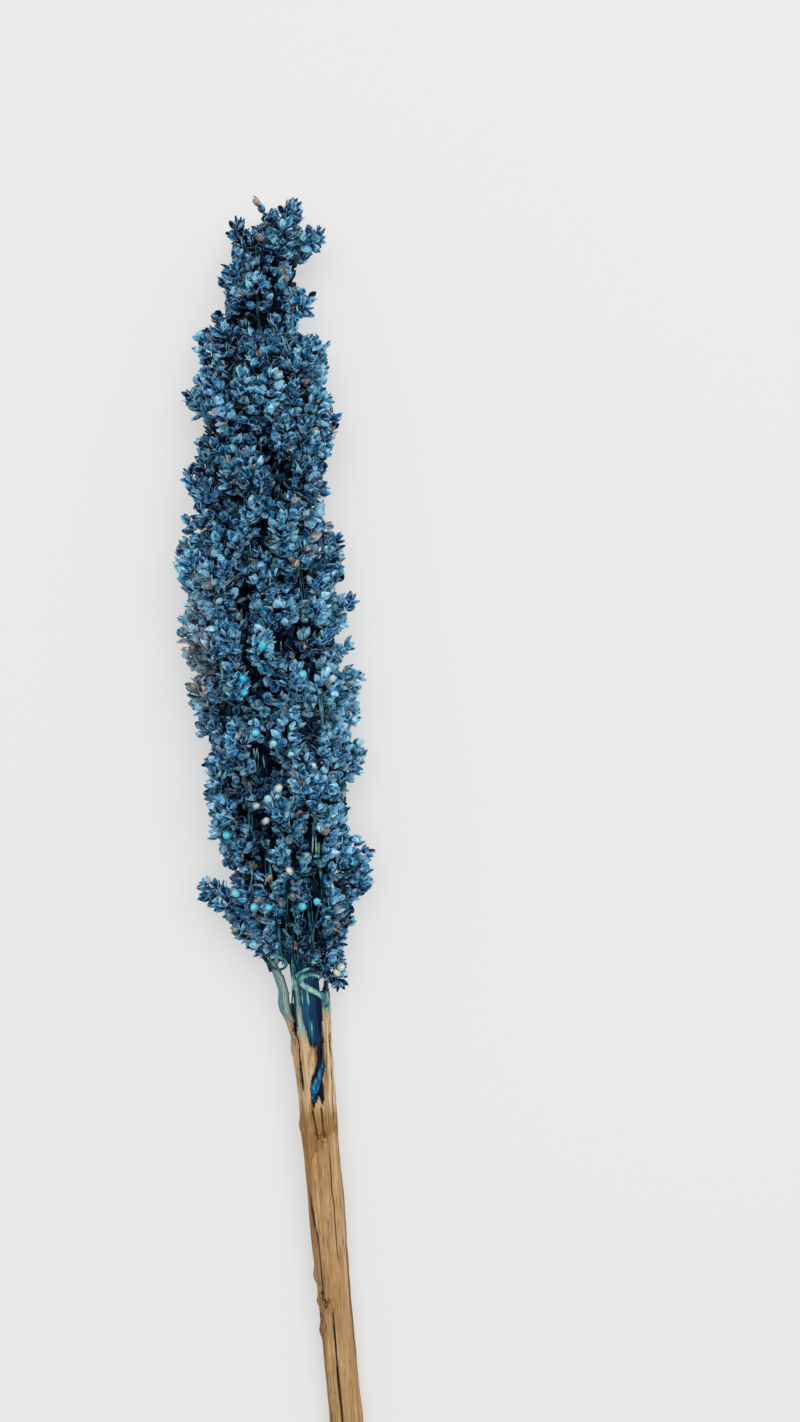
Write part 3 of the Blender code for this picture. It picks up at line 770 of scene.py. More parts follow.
# The thin branch end at the very tip, with a tan bud
for kind, place, straw in (("slender0", (5.4, 242.6, 24.5), 0.0), ("closed1", (4.2, 245.2, 24.5), 0.0),
                           ("closed0", (2.6, 247.6, 24.5), 1.0)):
    spikelets.append((kind, np.array(place) / 1000, unit(np.array((-0.5, 0.85, 0.1))), 1.0, 0.95, 0.5, straw, 0.0))

# Bare grains that show on the upper side: x and y in mm, and 0 for turquoise to 1 for cream
BARE_GRAINS = (
    (-9.6, 70.9, 0.0), (-9.7, 66.2, 0.05), (-1.8, 81.8, 0.1), (11.9, 71.2, 0.2), (22.0, 69.0, 0.7),
    (-6.0, 51.3, 0.35), (-0.1, 47.0, 0.55), (0.8, 31.0, 0.85), (-2.8, 27.4, 0.6), (-7.8, 25.0, 0.7),
    (-4.6, 19.4, 0.9), (3.1, 1.1, 1.0), (-19.0, 15.0, 0.1), (-10.4, -11.2, 0.25), (-5.2, -11.5, 0.2),
    (6.7, -12.2, 0.15), (12.2, -10.8, 0.2), (-17.0, -6.5, 0.3), (18.9, -36.5, 1.0), (17.5, -38.9, 0.97),
)
seen = places[kept]
for x, y, paleness in BARE_GRAINS:
    near = (np.abs(seen[:, 0] - x / 1000) < 0.004) & (np.abs(seen[:, 1] - y / 1000) < 0.004)
    z = seen[near, 2].max() if near.any() else 0.03
    direction = unit(np.array((husk_rng.normal(0, 0.35), husk_rng.normal(0.3, 0.35), 1.0)))
    spikelets.append(("bare0", np.array((x / 1000, y / 1000, z + 0.0002)), direction, husk_rng.uniform(0, math.tau),
                      husk_rng.uniform(0.9, 1.1), paleness, 0.0, 0.0))
for place, direction, share in zip(places[kept], directions[kept], shares[kept]):
    if share > 0.85 and husk_rng.random() < (0.012 if place[1] < 0.10 else 0.003):
        spikelets.append(("bare0", place + direction * 0.0004, direction, husk_rng.uniform(0, math.tau), 0.85,
                          husk_rng.random() ** 1.5, 0.0, 0.0))


def set_values(mesh, values):
    """Keeps a value of each name at each point of the mesh, for its material."""
    for name, value in values.items():
        mesh.attributes.new(name, "FLOAT", "POINT").data.foreach_set("value", np.asarray(value, np.float32))


def new_mesh(name, points, faces, values):
    """An object from arrays of points and faces, with a value of each name at each point."""
    mesh = bpy.data.meshes.new(name)
    mesh.from_pydata(points.tolist(), [], faces)
    set_values(mesh, values)
    obj = bpy.data.objects.new(name, mesh)
    bpy.context.scene.collection.objects.link(obj)
    return finished(name, obj)


def point_value(flow, name):
    """The value of a piece's point attribute."""
    return flow.node("ShaderNodeAttribute", {"attribute_name": name}, {}, out="Fac")


# One piece for each stretch of the head, from the tip down
ZONES = (("husks_1", 0.190), ("husks_2", 0.140), ("husks_3", 0.095), ("husks_4", 0.050), ("husks_5", 0.005),
         ("husks_6", -1.0))
husk_pieces = []
highest = 1.0
for zone, lowest in ZONES:
    points, faces, start = [], [], 0
    values = {name: [] for name in ("tint", "straw", "worn", "deep", "rim", "height", "grain")}
    for kind, place, direction, roll, size, tint, straw, deep in spikelets:
        if not lowest <= place[1] < highest:
            continue
        shape, shape_faces, rim, number, is_grain = SPIKELETS[kind]
        side = unit(np.cross(direction, (0.31, 0.12, 0.94)))
        third = np.cross(direction, side)
        first = side * math.cos(roll) + third * math.sin(roll)
        turned = np.stack((first, np.cross(direction, first), direction))
        points.append((shape * size) @ turned + place - direction * HUSK_LENGTH * size * 0.5)
        faces += [tuple(start + i for i in face) for face in shape_faces]
        start += len(shape)
        values["rim"].append(rim[:, 0])
        values["height"].append(rim[:, 1])
        values["grain"].append(is_grain)
        husk_tints = (0.5 if is_grain[-1] else tint) + husk_rng.normal(0, 0.27, MOST_HUSKS)
        if is_grain[-1]:
            husk_tints[number[-1]] = tint
        values["tint"].append(husk_tints[number])
        chance = np.full(MOST_HUSKS, straw)
        if kind[:-1] in ("closed", "parted", "slender"):
            chance[2 if kind[:-1] != "slender" else 1] += 0.10
        worn = math.exp(-((place[0] + 0.029) / 0.007) ** 2 - ((place[1] - 0.083) / 0.018) ** 2)
        chance += 0.22 * worn
        values["straw"].append((husk_rng.random(MOST_HUSKS) < chance)[number] * husk_rng.uniform(0.4, 1.0))
        values["deep"].append(np.full(len(shape), deep))
        values["worn"].append(np.full(len(shape), worn))
    values = {name: np.concatenate(rows) for name, rows in values.items()}
    piece = new_mesh(zone, np.concatenate(points), faces, values)
    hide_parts("head")
    husk_pieces.append(piece)
    highest = lowest

dyed_husk, surface, flow = start_material("dyed_husk")
place = object_place(flow)
mottle = place.noise(650.0, 2.0)
fine = place.noise(2400.0, 1.0)
# Each husk is darker towards its foot: painted shade between the husks.
foot = point_value(flow, "height").ramp(0.55, 0.05)
tone = (point_value(flow, "tint") + (mottle - 0.5) * 1.55 + (fine - 0.5) * 0.3 - foot * 0.48 + 0.045).clamp()
blue = tone.colours(
    (0.0, (0.0006, 0.005, 0.030)), (0.25, (0.002, 0.035, 0.140)), (0.5, (0.009, 0.128, 0.315)),
    (0.75, (0.038, 0.310, 0.590)), (1.0, (0.240, 0.620, 0.850)),
)
greener = tone.colours(
    (0.0, (0.0008, 0.004, 0.013)), (0.25, (0.003, 0.037, 0.105)), (0.5, (0.015, 0.130, 0.245)),
    (0.75, (0.062, 0.310, 0.450)), (1.0, (0.340, 0.640, 0.740)),
)
blue = place.noise(210.0, 2.0).ramp(0.42, 0.64).mix(blue, greener)
worn = point_value(flow, "worn")
# Pale edges and tips: partly thin dye, partly painted highlights.
pale = point_value(flow, "rim").ramp(0.52, 1.0) * (mottle * 3.4 - 1.02 + worn * 0.8).clamp()
edge_and_highlight_colour = worn.mix((0.46, 0.74, 0.90, 1), (0.70, 0.68, 0.60, 1))
colour = (pale * 0.95).mix(blue, edge_and_highlight_colour)
colour = (worn * mottle.ramp(0.40, 0.56) * 0.45).mix(colour, (0.30, 0.40, 0.42, 1))
straw_colour = mottle.ramp(0.40, 0.62).mix((0.34, 0.20, 0.12, 1), (0.62, 0.50, 0.38, 1))
colour = (point_value(flow, "straw") * 0.85).mix(colour, straw_colour)
bare_colour = (point_value(flow, "tint") + (fine - 0.5) * 0.3).clamp().colours(
    (0.0, (0.020, 0.56, 0.78)), (0.4, (0.20, 0.74, 0.84)), (0.75, (0.50, 0.64, 0.60)), (1.0, (0.76, 0.70, 0.56)),
)
grain_part = point_value(flow, "grain")
deep = point_value(flow, "deep")
# Spikelets deep inside the head, and the single husks there, go near black: painted shade.
colour = (deep * 0.95).mix(grain_part.mix(colour, bare_colour), (0.0005, 0.004, 0.018, 1))
surface.inputs["Specular IOR Level"].default_value = 0.06
surface.inputs["Coat Roughness"].default_value = 0.15
surface.inputs["Coat IOR"].default_value = 1.8
flow.feed(surface.inputs["Coat Weight"], ((tone - 0.40) * 1.3).clamp() * (1 - deep) + grain_part * 0.5)
roughness = 0.50 - 0.22 * grain_part + 0.15 * (mottle - 0.5)
finish_material(husk_pieces, dyed_husk, flow, colour, roughness, (fine, 0.7, 0.0003))

# Heart of the head
# The thicket of branch bases round the stalk, coloured near black as painted shade between the husks.

HEART_SHARE = 0.50
HEART_ROWS = 80
HEART_SIDES = 36

heart_y = np.linspace(TIP_Y - 0.016, TIP_Y - HEAD_LENGTH + 0.006, HEART_ROWS)
points = []
for y in heart_y:
    thin = min(1.0, (TIP_Y - 0.015 - y) / 0.02, (y - (TIP_Y - HEAD_LENGTH)) / 0.02)
    for angle in np.linspace(0, math.tau, HEART_SIDES, endpoint=False):
        reach = head_reach(TIP_Y - y, angle) * HEART_SHARE * thin**0.5
        reach *= 1 + 0.35 * noise.noise(Vector((math.cos(angle) * 3, y * 90, math.sin(angle) * 3)))
        points.append(stalk_at(y) + out_from_stalk(angle) * reach)
rounds = np.arange(HEART_ROWS * HEART_SIDES).reshape(HEART_ROWS, HEART_SIDES)
faces = [
    (upper[k - 1], upper[k], lower[k], lower[k - 1])
    for upper, lower in zip(rounds.tolist(), rounds[1:].tolist()) for k in range(HEART_SIDES)
]
faces += [tuple(rounds[0, ::-1].tolist()), tuple(rounds[-1].tolist())]
heart = new_mesh("heart", np.array(points), faces, {})
heart.data.polygons.foreach_set("use_smooth", np.ones(len(heart.data.polygons), bool))
painted_shade_heart, surface, flow = start_material("painted_shade_heart")
lines = fibres(flow, 900, 60)
# Near black throughout: painted shade.
colour = lines.ramp(0.50, 0.75).mix((0.0004, 0.0015, 0.005, 1), (0.002, 0.014, 0.026, 1))
surface.inputs["Specular IOR Level"].default_value = 0.05
finish_material([heart], painted_shade_heart, flow, colour, 0.9)

# Branches
# Thin green-blue branches that leave the stalk and run up into the lobes. They show at the neck, where they fan
# out under the lowest lobes, and in the openings between the lobes.

# Strands that show at the neck: half width in mm, and the points of their line in mm
NECK_STRANDS = (
    (0.62, ((-7.2, -37.5, 24.4), (-7.9, -35, 25), (-9.0, -31, 25.5), (-11.0, -27, 25.5), (-14.5, -21, 24))),
    (0.55, ((-9.5, -31.5, 28), (-7.9, -33.5, 30), (-6.2, -34.9, 31.2), (-4.3, -35.9, 31.8), (-1.8, -35.8, 32),
            (-0.3, -34.0, 32), (-0.9, -32.3, 32), (-3.4, -31.4, 31.5), (-5, -30, 30))),
    (0.27, ((2.3, -39.5, 25.9), (1.2, -35, 28.3), (-1.2, -26, 31.5), (-5.0, -14, 32), (-7.5, 0, 30))),
    (0.30, ((3.6, -41, 26.0), (2.6, -35, 28.5), (0.2, -24, 31), (-1.4, -12, 32), (-1.0, 2, 30))),
    (0.25, ((5.0, -40, 26.0), (4.6, -33, 28.5), (4.4, -23, 32), (2.2, -12, 33), (4.5, 0, 30))),
    (0.28, ((6.4, -40, 26.0), (7.4, -35, 28), (8.0, -26, 32), (10.6, -17, 33.5), (13.5, -8, 32), (16, 0, 29))),
    (0.27, ((8.0, -41, 25.2), (9.2, -36, 27.0), (12.5, -25, 30), (13.4, -15, 31), (17.5, -4, 29))),
    (0.34, ((9.4, -42, 23.5), (12.0, -36, 25.5), (16.0, -26, 28), (20.0, -16, 29), (22, -4, 30))),
    (0.30, ((2.0, -26, 32), (3.2, -20, 35.5), (5.0, -14, 38.5), (5.6, -8, 38))),
    (0.26, ((6.2, -25, 32), (5.4, -18, 36), (7.0, -11, 38.5), (10, -6, 38))),
    (0.28, ((1.0, 19, 44), (2.4, 25, 46.5), (1.8, 31, 47), (-0.5, 36, 45))),
    (0.24, ((3.6, 17, 44), (4.6, 23, 46.5), (6.5, 29, 46), (7.2, 34, 44))),
    (0.44, ((5.5, -41, 25.9), (5.9, -46.9, 25.7), (6.6, -53.2, 25.5), (7.0, -58.6, 25.2), (6.8, -64.5, 24.6))),
)

# Branches leave the stalk no lower than this, on the upper side and underneath
LOWEST_ABOVE = -0.036
LOWEST_BELOW = -0.042

branch_rng = random.Random(31)
strands = []
for lobe in branches + clear_sprigs:
    foot = lobe.middle - lobe.axis * lobe.sizes[0] * 0.75
    rise = branch_rng.uniform(0.018, 0.034)
    out = foot - stalk_at(foot[1])
    out[1] = 0
    lowest = LOWEST_ABOVE if unit(out)[2] > -0.1 else LOWEST_BELOW
    start_y = max(foot[1] - rise, lowest + branch_rng.uniform(0, 0.010))
    root = stalk_at(start_y) + unit(out) * float(smooth(STALK_RADII, start_y)) * 0.6
    lift = (foot[1] - start_y) * 0.45
    bow = np.array((branch_rng.uniform(-0.002, 0.002), 0, branch_rng.uniform(-0.002, 0.002)))
    line = (root, root + np.array((0, lift, 0)) + unit(out) * 0.0012 + bow, foot - lobe.axis * lift * 0.6, foot,
            lobe.middle)
    wide = branch_rng.uniform(0.30, 0.46)
    strands.append((line, (1.5 * wide, 1.2 * wide, wide, 0.8 * wide, 0.5 * wide)))
for wide, line in NECK_STRANDS:
    wander = 0.0012 if wide < 0.4 else 0.0
    line = [(x / 1000 + branch_rng.uniform(-wander, wander), y / 1000, z / 1000) for x, y, z in line]
    strands.append((line, [wide * branch_rng.uniform(0.8, 1.15) for place in line]))
for x, y, half_x, half_y in CLEARINGS:
    for i in range(3):
        line = []
        wander = branch_rng.uniform(-half_x, half_x) * 0.7
        depth = branch_rng.uniform(0.52, 0.72)
        for step in range(5):
            at_y = (y + half_y * (step / 2 - 1) * 1.9) / 1000
            at_x = (x + wander * (1.3 - 0.25 * step) + branch_rng.uniform(-0.9, 0.9)) / 1000
            middle = stalk_at(at_y)
            reach = head_reach(min(max(TIP_Y - at_y, 0.002), HEAD_LENGTH), math.pi / 2)
            line.append((at_x, at_y, middle[2] + reach * depth))
        strands.append((line, [branch_rng.uniform(0.20, 0.36)] * 5))
branch_mesh = round_strands("branches", strands, 0.001, 1, 5)

# Painted shade on the strands: dark inside the head, lighter where the strands come to the front at the neck
x, y, z = np.array([point.co for point in branch_mesh.data.vertices]).T
shaded = np.clip((y + 0.038) / 0.012, 0, 1)
shaded[(x > -0.006) & (x < 0.016) & (y < 0.012) & (z > 0.028)] *= 0.35
shaded[z > 0.035] = 0.0
set_values(branch_mesh.data, {"shaded": shaded})
finished("branches", branch_mesh)
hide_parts("head")
teal_branch, surface, flow = start_material("teal_branch")
lines = fibres(flow, 2200, 90)
colour = (object_place(flow).noise(160.0, 3.0) * 1.7 + lines * 0.4 - 0.56).clamp().colours(
    (0.32, (0.002, 0.022, 0.045)), (0.48, (0.012, 0.120, 0.180)), (0.62, (0.070, 0.300, 0.350)),
    (0.82, (0.40, 0.54, 0.42)),
)
# Strands darkened by their painted shade.
colour = (point_value(flow, "shaded") * 0.66).mix(colour, (0.001, 0.010, 0.020, 1))
surface.inputs["Specular IOR Level"].default_value = 0.2
finish_material([branch_mesh], teal_branch, flow, colour, 0.45, (lines, 0.4, 0.0003))

# Sheath
# The dry leaf sheath, tan and fibrous, wrapped round the stalk. It has split along its length, and its upper end is
# torn into strips that the dye has tinted teal. A ragged hole in front shows the dyed stalk.

SHEATH_RADII = (
    (-0.250, 0.0062),
    (-0.200, 0.0061),
    (-0.170, 0.0060),
    (-0.150, 0.0062),
    (-0.130, 0.0066),
    (-0.110, 0.0065),
    (-0.090, 0.0066),
    (-0.078, 0.0069),
    (-0.064, 0.0074),
    (-0.050, 0.0070),
    (-0.033, 0.0066),
)
SHEATH_WALL = 0.0009
SHEATH_SIDES = 144
SHEATH_TOP = -0.0322
TORN_BELOW = -0.0650
# Each strip from its foot to its tip: y, the angles of its two edges (0 right, 90 up), and its reach from the middle
STRIPS = (
    ((-0.0640, 147, 196, 0.0074), (-0.0605, 144, 194, 0.0083), (-0.0565, 139, 193, 0.0090), (-0.0535, 140, 192, 0.0102),
     (-0.0495, 139, 190, 0.0106), (-0.0450, 138, 188, 0.0104), (-0.0410, 138, 187, 0.0113), (-0.0370, 142, 187, 0.0123),
     (-0.0340, 149, 184, 0.0129), (-0.0330, 152, 178, 0.0130)),
    ((-0.0680, 86, 143, 0.0073), (-0.0640, 93, 141, 0.0074), (-0.0605, 95, 132, 0.0075), (-0.0577, 99, 127, 0.0075),
     (-0.0554, 105, 127, 0.0074), (-0.0500, 108, 126, 0.0073), (-0.0430, 106, 124, 0.0072), (-0.0400, 108, 123, 0.0073),
     (-0.0385, 111, 119, 0.0074)),
    ((-0.0680, -6, 54, 0.0073), (-0.0640, -4, 52, 0.0076), (-0.0580, -2, 51, 0.0079), (-0.0520, 0, 48, 0.0081),
     (-0.0490, 4, 45, 0.0084), (-0.0465, 14, 38, 0.0086), (-0.0450, 22, 30, 0.0087)),
    ((-0.0660, 197, 240, 0.0073), (-0.0580, 200, 236, 0.0078), (-0.0530, 210, 228, 0.0082),
     (-0.0505, 214, 222, 0.0084)),
    ((-0.0670, 241, 294, 0.0073), (-0.0580, 246, 288, 0.0078), (-0.0520, 252, 280, 0.0084),
     (-0.0485, 260, 270, 0.0088)),
    ((-0.0670, 296, 352, 0.0073), (-0.0560, 300, 350, 0.0080), (-0.0470, 310, 342, 0.0090),
     (-0.0420, 320, 334, 0.0096)),
)
# How high the dye has come up in each strip: 0 at its foot to 1 at its tip
DYE_STARTS = (0.16, 0.16, 0.62, 0.2, 0.3, 0.2)
# The hole in front, and the slits, as angle and y in mm round their edge
HOLES = (
    ((71, -63.0), (73, -70), (78, -73), (96, -77.8), (105, -82.3), (104, -85), (102, -88.8), (89, -85.8), (82, -84),
     (73, -85.2), (70.5, -87.8), (63, -85.2), (63, -81.4), (67, -78.7), (57, -75), (53, -72.4), (52, -68), (50, -63.0)),
    ((268, -61), (276, -64), (278, -76), (272, -81), (269, -73)),
    ((138, -57), (146, -57), (147, -61), (143, -64.5)),
    ((130.5, -71.0), (135, -73.5), (136, -78), (133, -82), (129.5, -79.5), (129, -74)),
    ((9, -62.0), (24, -62.6), (26, -67), (20, -70.6), (11, -69)),
    ((145, -123), (146.2, -126), (139.5, -132), (130.2, -141), (129, -150), (130.5, -161.5), (126.8, -158), (125, -150),
     (126, -140), (135.5, -131)),
    ((96, -167), (100, -170), (103.4, -190), (105.4, -220), (106.2, -251), (102, -251), (101.2, -220), (99.2, -190)),
)
# Cracks that don't go through: angle and y of both ends, half width in degrees, depth
CRACKS = (
    (112, -0.1615, 136, -0.1640, 5.0, 0.0006),
    (104, -0.1650, 128, -0.1625, 5.0, 0.0006),
    (140, -0.1660, 134, -0.1760, 3.0, 0.0006),
    (131, -0.0590, 133, -0.0840, 3.5, 0.0007),
    (29, -0.0520, 27, -0.0860, 2.6, 0.0006),
    (106, -0.0890, 96, -0.1010, 4.0, 0.0007),
    (76, -0.0880, 70, -0.1010, 4.0, 0.0007),
    (60, -0.1040, 58, -0.1500, 3.0, 0.0005),
    (30, -0.0700, 22, -0.1500, 4.0, 0.0007),
    (10, -0.0560, 8, -0.0700, 4.0, 0.0009),
    (352, -0.0900, 330, -0.2100, 5.0, 0.0009),
    (238, -0.1100, 255, -0.2300, 5.5, 0.0009),
    (204, -0.0800, 190, -0.1500, 4.5, 0.0009),
    (300, -0.0800, 290, -0.1400, 4.5, 0.0009),
)
# Bumps, scars and lifted edges: angle, y, half width in degrees, half length, height
BUMPS = (
    (180, -0.0515, 15, 0.0032, 0.0005),
    (184, -0.0680, 14, 0.0035, 0.0008),
    (178, -0.0965, 9, 0.0028, 0.0010),
    (176, -0.1545, 12, 0.0030, 0.0013),
    (172, -0.1640, 10, 0.0022, 0.0009),
    (176, -0.1755, 12, 0.0026, 0.0011),
    (118, -0.1640, 16, 0.0020, 0.0005),
    (25, -0.0790, 15, 0.0050, 0.0005),
    (300, -0.1300, 20, 0.0030, 0.0006),
)
# Rough dark scars where a leaf stood: angle, y, half width in degrees, half length
SCARS = (
    (118, -0.1640, 20, 0.0026), (142, -0.1600, 12, 0.0030), (172, -0.1640, 12, 0.0024), (176, -0.1755, 12, 0.0026),
    (150, -0.1700, 10, 0.0050), (88, -0.1000, 26, 0.0022), (150, -0.0600, 9, 0.0024),
    (300, -0.1300, 25, 0.0030), (230, -0.1900, 25, 0.0030),
)
# The cut at the lower end, and where the finer rows of points begin
SHEATH_FOOT = -0.250
FINE_ABOVE = -0.096

sheath_y = np.concatenate((np.linspace(SHEATH_FOOT, FINE_ABOVE, 96), np.linspace(FINE_ABOVE, SHEATH_TOP, 116)[1:]))
bpy.ops.object.select_all(action="DESELECT")
bpy.ops.mesh.primitive_grid_add(x_subdivisions=SHEATH_SIDES, y_subdivisions=len(sheath_y) - 1, size=1)
sheath = bpy.context.object
columns = np.array([round((point.co.x + 0.5) * SHEATH_SIDES) for point in sheath.data.vertices])
rows = np.array([round((point.co.y + 0.5) * (len(sheath_y) - 1)) for point in sheath.data.vertices])
angle = columns / SHEATH_SIDES * 360.0
y = sheath_y[rows]


def turned_from(angles, middle):
    """Signed degrees from middle to the angles, from -180 to 180."""
    return (angles - middle + 180) % 360 - 180


def round_noise(angles, y, turns, along, seed):
    """A noise at each point that closes on itself round the stalk."""
    return np.array([
        noise.noise(Vector((math.cos(a) * turns, b * along, math.sin(a) * turns + seed)))
        for a, b in zip(np.radians(angles), y)
    ])


def spot(at_angle, half, at_y, half_y):
    """1 at a place on the sheath, falling to 0 round it: its angle and y, and half sizes in degrees and metres."""
    return np.exp(-(turned_from(angle, at_angle) / half) ** 2 - ((y - at_y) / half_y) ** 2)


ragged = round_noise(angle, y * 0, 9, 0, 4) * 0.0022 + round_noise(angle, y, 5, 300, 8) * 0.0007
reach = smooth(SHEATH_RADII, y)
reach = reach + 0.00016 * np.sin(np.radians(angle) * 13 + y * 60) + 0.00010 * np.sin(np.radians(angle) * 29 - y * 90)
reach += round_noise(angle, y, 2.2, 45, 0) * 0.0005 + round_noise(angle, y, 6, 120, 3) * 0.0002
kept = y < TORN_BELOW + ragged * 0.8
dye, cream = np.zeros_like(y), np.zeros_like(y)
for strip, dye_start in zip(STRIPS, DYE_STARTS):
    table = np.array(strip)
    low, high, tip_reach = (np.interp(y, table[:, 0], table[:, i]) for i in (1, 2, 3))
    middle = (low + high) / 2
    off = turned_from(angle, middle)
    half = (high - low) / 2 + round_noise(angle * 0, y, 1, 380, table[0, 1]) * 2
    inside = (np.abs(off) < half) & (y > table[0, 0] - 0.002) & (y < table[-1, 0] + ragged)
    kept |= inside
    near = (np.abs(off) < half + 1.3) & (y > table[0, 0])
    share = np.clip((y - table[0, 0]) / (table[-1, 0] - table[0, 0]), 0, 1)
    relief = reach - smooth(SHEATH_RADII, y)
    tilt = 0.0018 * np.clip((half - off) / (2 * half), 0, 1) if strip is STRIPS[0] else 0.0
    reach = np.where(near, tip_reach - tilt + relief, reach)
    dye = np.where(near, np.clip((share - dye_start) * 6 + ragged * 250, 0, 1), dye)
    if strip is STRIPS[0]:
        cream = np.where(near, np.clip(1.5 - (off + half) / 18, 0, 1), cream)
    if strip is STRIPS[1]:
        cream = np.where(near, np.clip((y + 0.048) / -0.006, 0.25, 0.9), cream)
    if strip is STRIPS[2]:
        cream = np.where(near & (turned_from(angle, 12) < 13), 0.9, cream)
dye = np.maximum(dye, spot(178, 14, -0.0625, 0.0013))
# Paler towards the top, which is real colour; the right side there is brightened further as painted light, and sunlit
# is a painted highlight band lower down on that side.
pale_part = np.clip((y + 0.093) / 0.008, 0, 1) * (1 + 1.1 * np.exp(-(turned_from(angle, 20) / 26) ** 2))
sunlit = np.exp(-(turned_from(angle, 24) / 14) ** 2 - ((y + 0.135) / 0.026) ** 4)
pale_part = np.maximum(pale_part, 0.9 * sunlit)


def in_outline(angles, y, outline):
    """True for points inside a closed outline of (degrees, mm)."""
    found = np.zeros(len(y), bool)
    for (a1, y1), (a2, y2) in zip(outline, outline[1:] + outline[:1]):
        crosses = (y1 / 1000 > y) != (y2 / 1000 > y)
        at = a1 + (y * 1000 - y1) / (y2 - y1 + 1e-9) * (a2 - a1)
        found ^= crosses & (angles < at)
    return found


for outline in HOLES:
    kept &= ~in_outline(angle + ragged * 900, y + ragged * 0.15, outline)
peel_line = np.interp(angle, (0, 35, 126, 140, 150, 360), (-0.098, -0.0985, -0.1085, -0.135, -0.300, -0.300))
peeled = np.clip(0.5 + (peel_line + ragged * 0.8 - y) / 0.006, 0, 1)
reach = reach - 0.00025 * (peeled > 0.5)
crack = np.zeros_like(dye)
for from_angle, from_y, to_angle, to_y, half, depth in CRACKS:
    share = (y - from_y) / (to_y - from_y)
    middle = from_angle + turned_from(to_angle, from_angle) * share
    wander = round_noise(angle * 0, y, 1, 130, from_angle) * 4
    off = turned_from(angle, middle + wander) / half
    from_end = np.minimum(share, 1 - share)
    fade = np.clip(from_end * 6, 0, 1)
    groove = np.exp(-off * off * 2.2) * fade
    narrowing = np.where(from_end > 0, 0.65 + 0.35 * np.clip(from_end * 10, 0, 1), 0)
    crack = np.maximum(crack, np.clip(1 - np.abs(off) / 2, 0, 1) * narrowing)
    reach = reach - depth * groove + depth * 0.35 * np.exp(-((off - 1.6) ** 2) * 3) * fade
for at_angle, at_y, half, half_y, height in BUMPS:
    reach = reach + height * spot(at_angle, half, at_y, half_y)
scar = np.zeros_like(y)
for at_angle, at_y, half, half_y in SCARS:
    scar = np.maximum(scar, spot(at_angle, half, at_y, half_y))
turn = np.radians(angle)
places = stalk_at(y) + np.stack((np.cos(turn) * reach, np.zeros_like(y), np.sin(turn) * reach), axis=-1)
places[:, 2] = np.maximum(places[:, 2], 0.0)
sheath.data.vertices.foreach_set("co", places.ravel())
set_values(sheath.data, {"dye": dye, "crack": crack, "edge": dye * 0, "peeled": peeled, "cream": cream,
                         "pale_part": pale_part, "scar": scar})
bpy.ops.object.mode_set(mode="EDIT")
edit = bmesh.from_edit_mesh(sheath.data)
edit.verts.ensure_lookup_table()
bmesh.ops.delete(edit, geom=[edit.verts[i] for i in np.flatnonzero(~kept)], context="VERTS")
bmesh.ops.remove_doubles(edit, verts=edit.verts, dist=0.00002)
bmesh.ops.recalc_face_normals(edit, faces=edit.faces)
edge_value = edit.verts.layers.float["edge"]
rim_points = [point for point in edit.verts if point.is_boundary and point.co.y > SHEATH_FOOT + 0.001]
for point in rim_points:
    for edge in point.link_edges:
        edge.other_vert(point)[edge_value] = 0.5
for point in rim_points:
    point[edge_value] = 1.0
bmesh.update_edit_mesh(sheath.data)
bpy.ops.mesh.select_all(action="DESELECT")
bpy.ops.object.mode_set(mode="OBJECT")
outer_points = len(sheath.data.vertices)
solidify = sheath.modifiers.new("wall", "SOLIDIFY")
solidify.thickness = SHEATH_WALL
solidify.offset = -1
bpy.ops.object.modifier_apply(modifier="wall")
bpy.ops.object.shade_smooth_by_angle(angle=math.radians(50))
set_values(sheath.data, {"inner": np.arange(len(sheath.data.vertices)) >= outer_points})
finished("sheath", sheath)
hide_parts("stem")

dry_sheath, surface, flow = start_material("dry_sheath")
fine = fibres(flow, 2600, 22, 4.0)
broad = fibres(flow, 420, 12, 3.0)
blotch = fibres(flow, 110, 40, 2.0)
tone = (fine * 0.75 + broad * 0.7 + blotch * 0.6 - 0.52).clamp()
tan = tone.colours(
    (0.20, (0.085, 0.032, 0.007)), (0.40, (0.300, 0.146, 0.040)), (0.58, (0.460, 0.255, 0.083)),
    (0.82, (0.720, 0.495, 0.225)),
)
teal = tone.colours(
    (0.25, (0.003, 0.040, 0.080)), (0.42, (0.044, 0.250, 0.325)), (0.60, (0.210, 0.470, 0.490)),
    (0.80, (0.560, 0.640, 0.480)),
)
peel_place = point_value(flow, "peeled") + (fine - 0.5) * 0.10
peeled = peel_place.ramp(0.46, 0.54)
pale_part = point_value(flow, "pale_part")
tan = ((1 - peeled) * (1 - pale_part).clamp() * 0.50).mix(tan, (0.345, 0.168, 0.040, 1))
tan = (peeled * (0.36 + blotch * 0.5)).clamp().mix(tan, (0.555, 0.345, 0.160, 1))
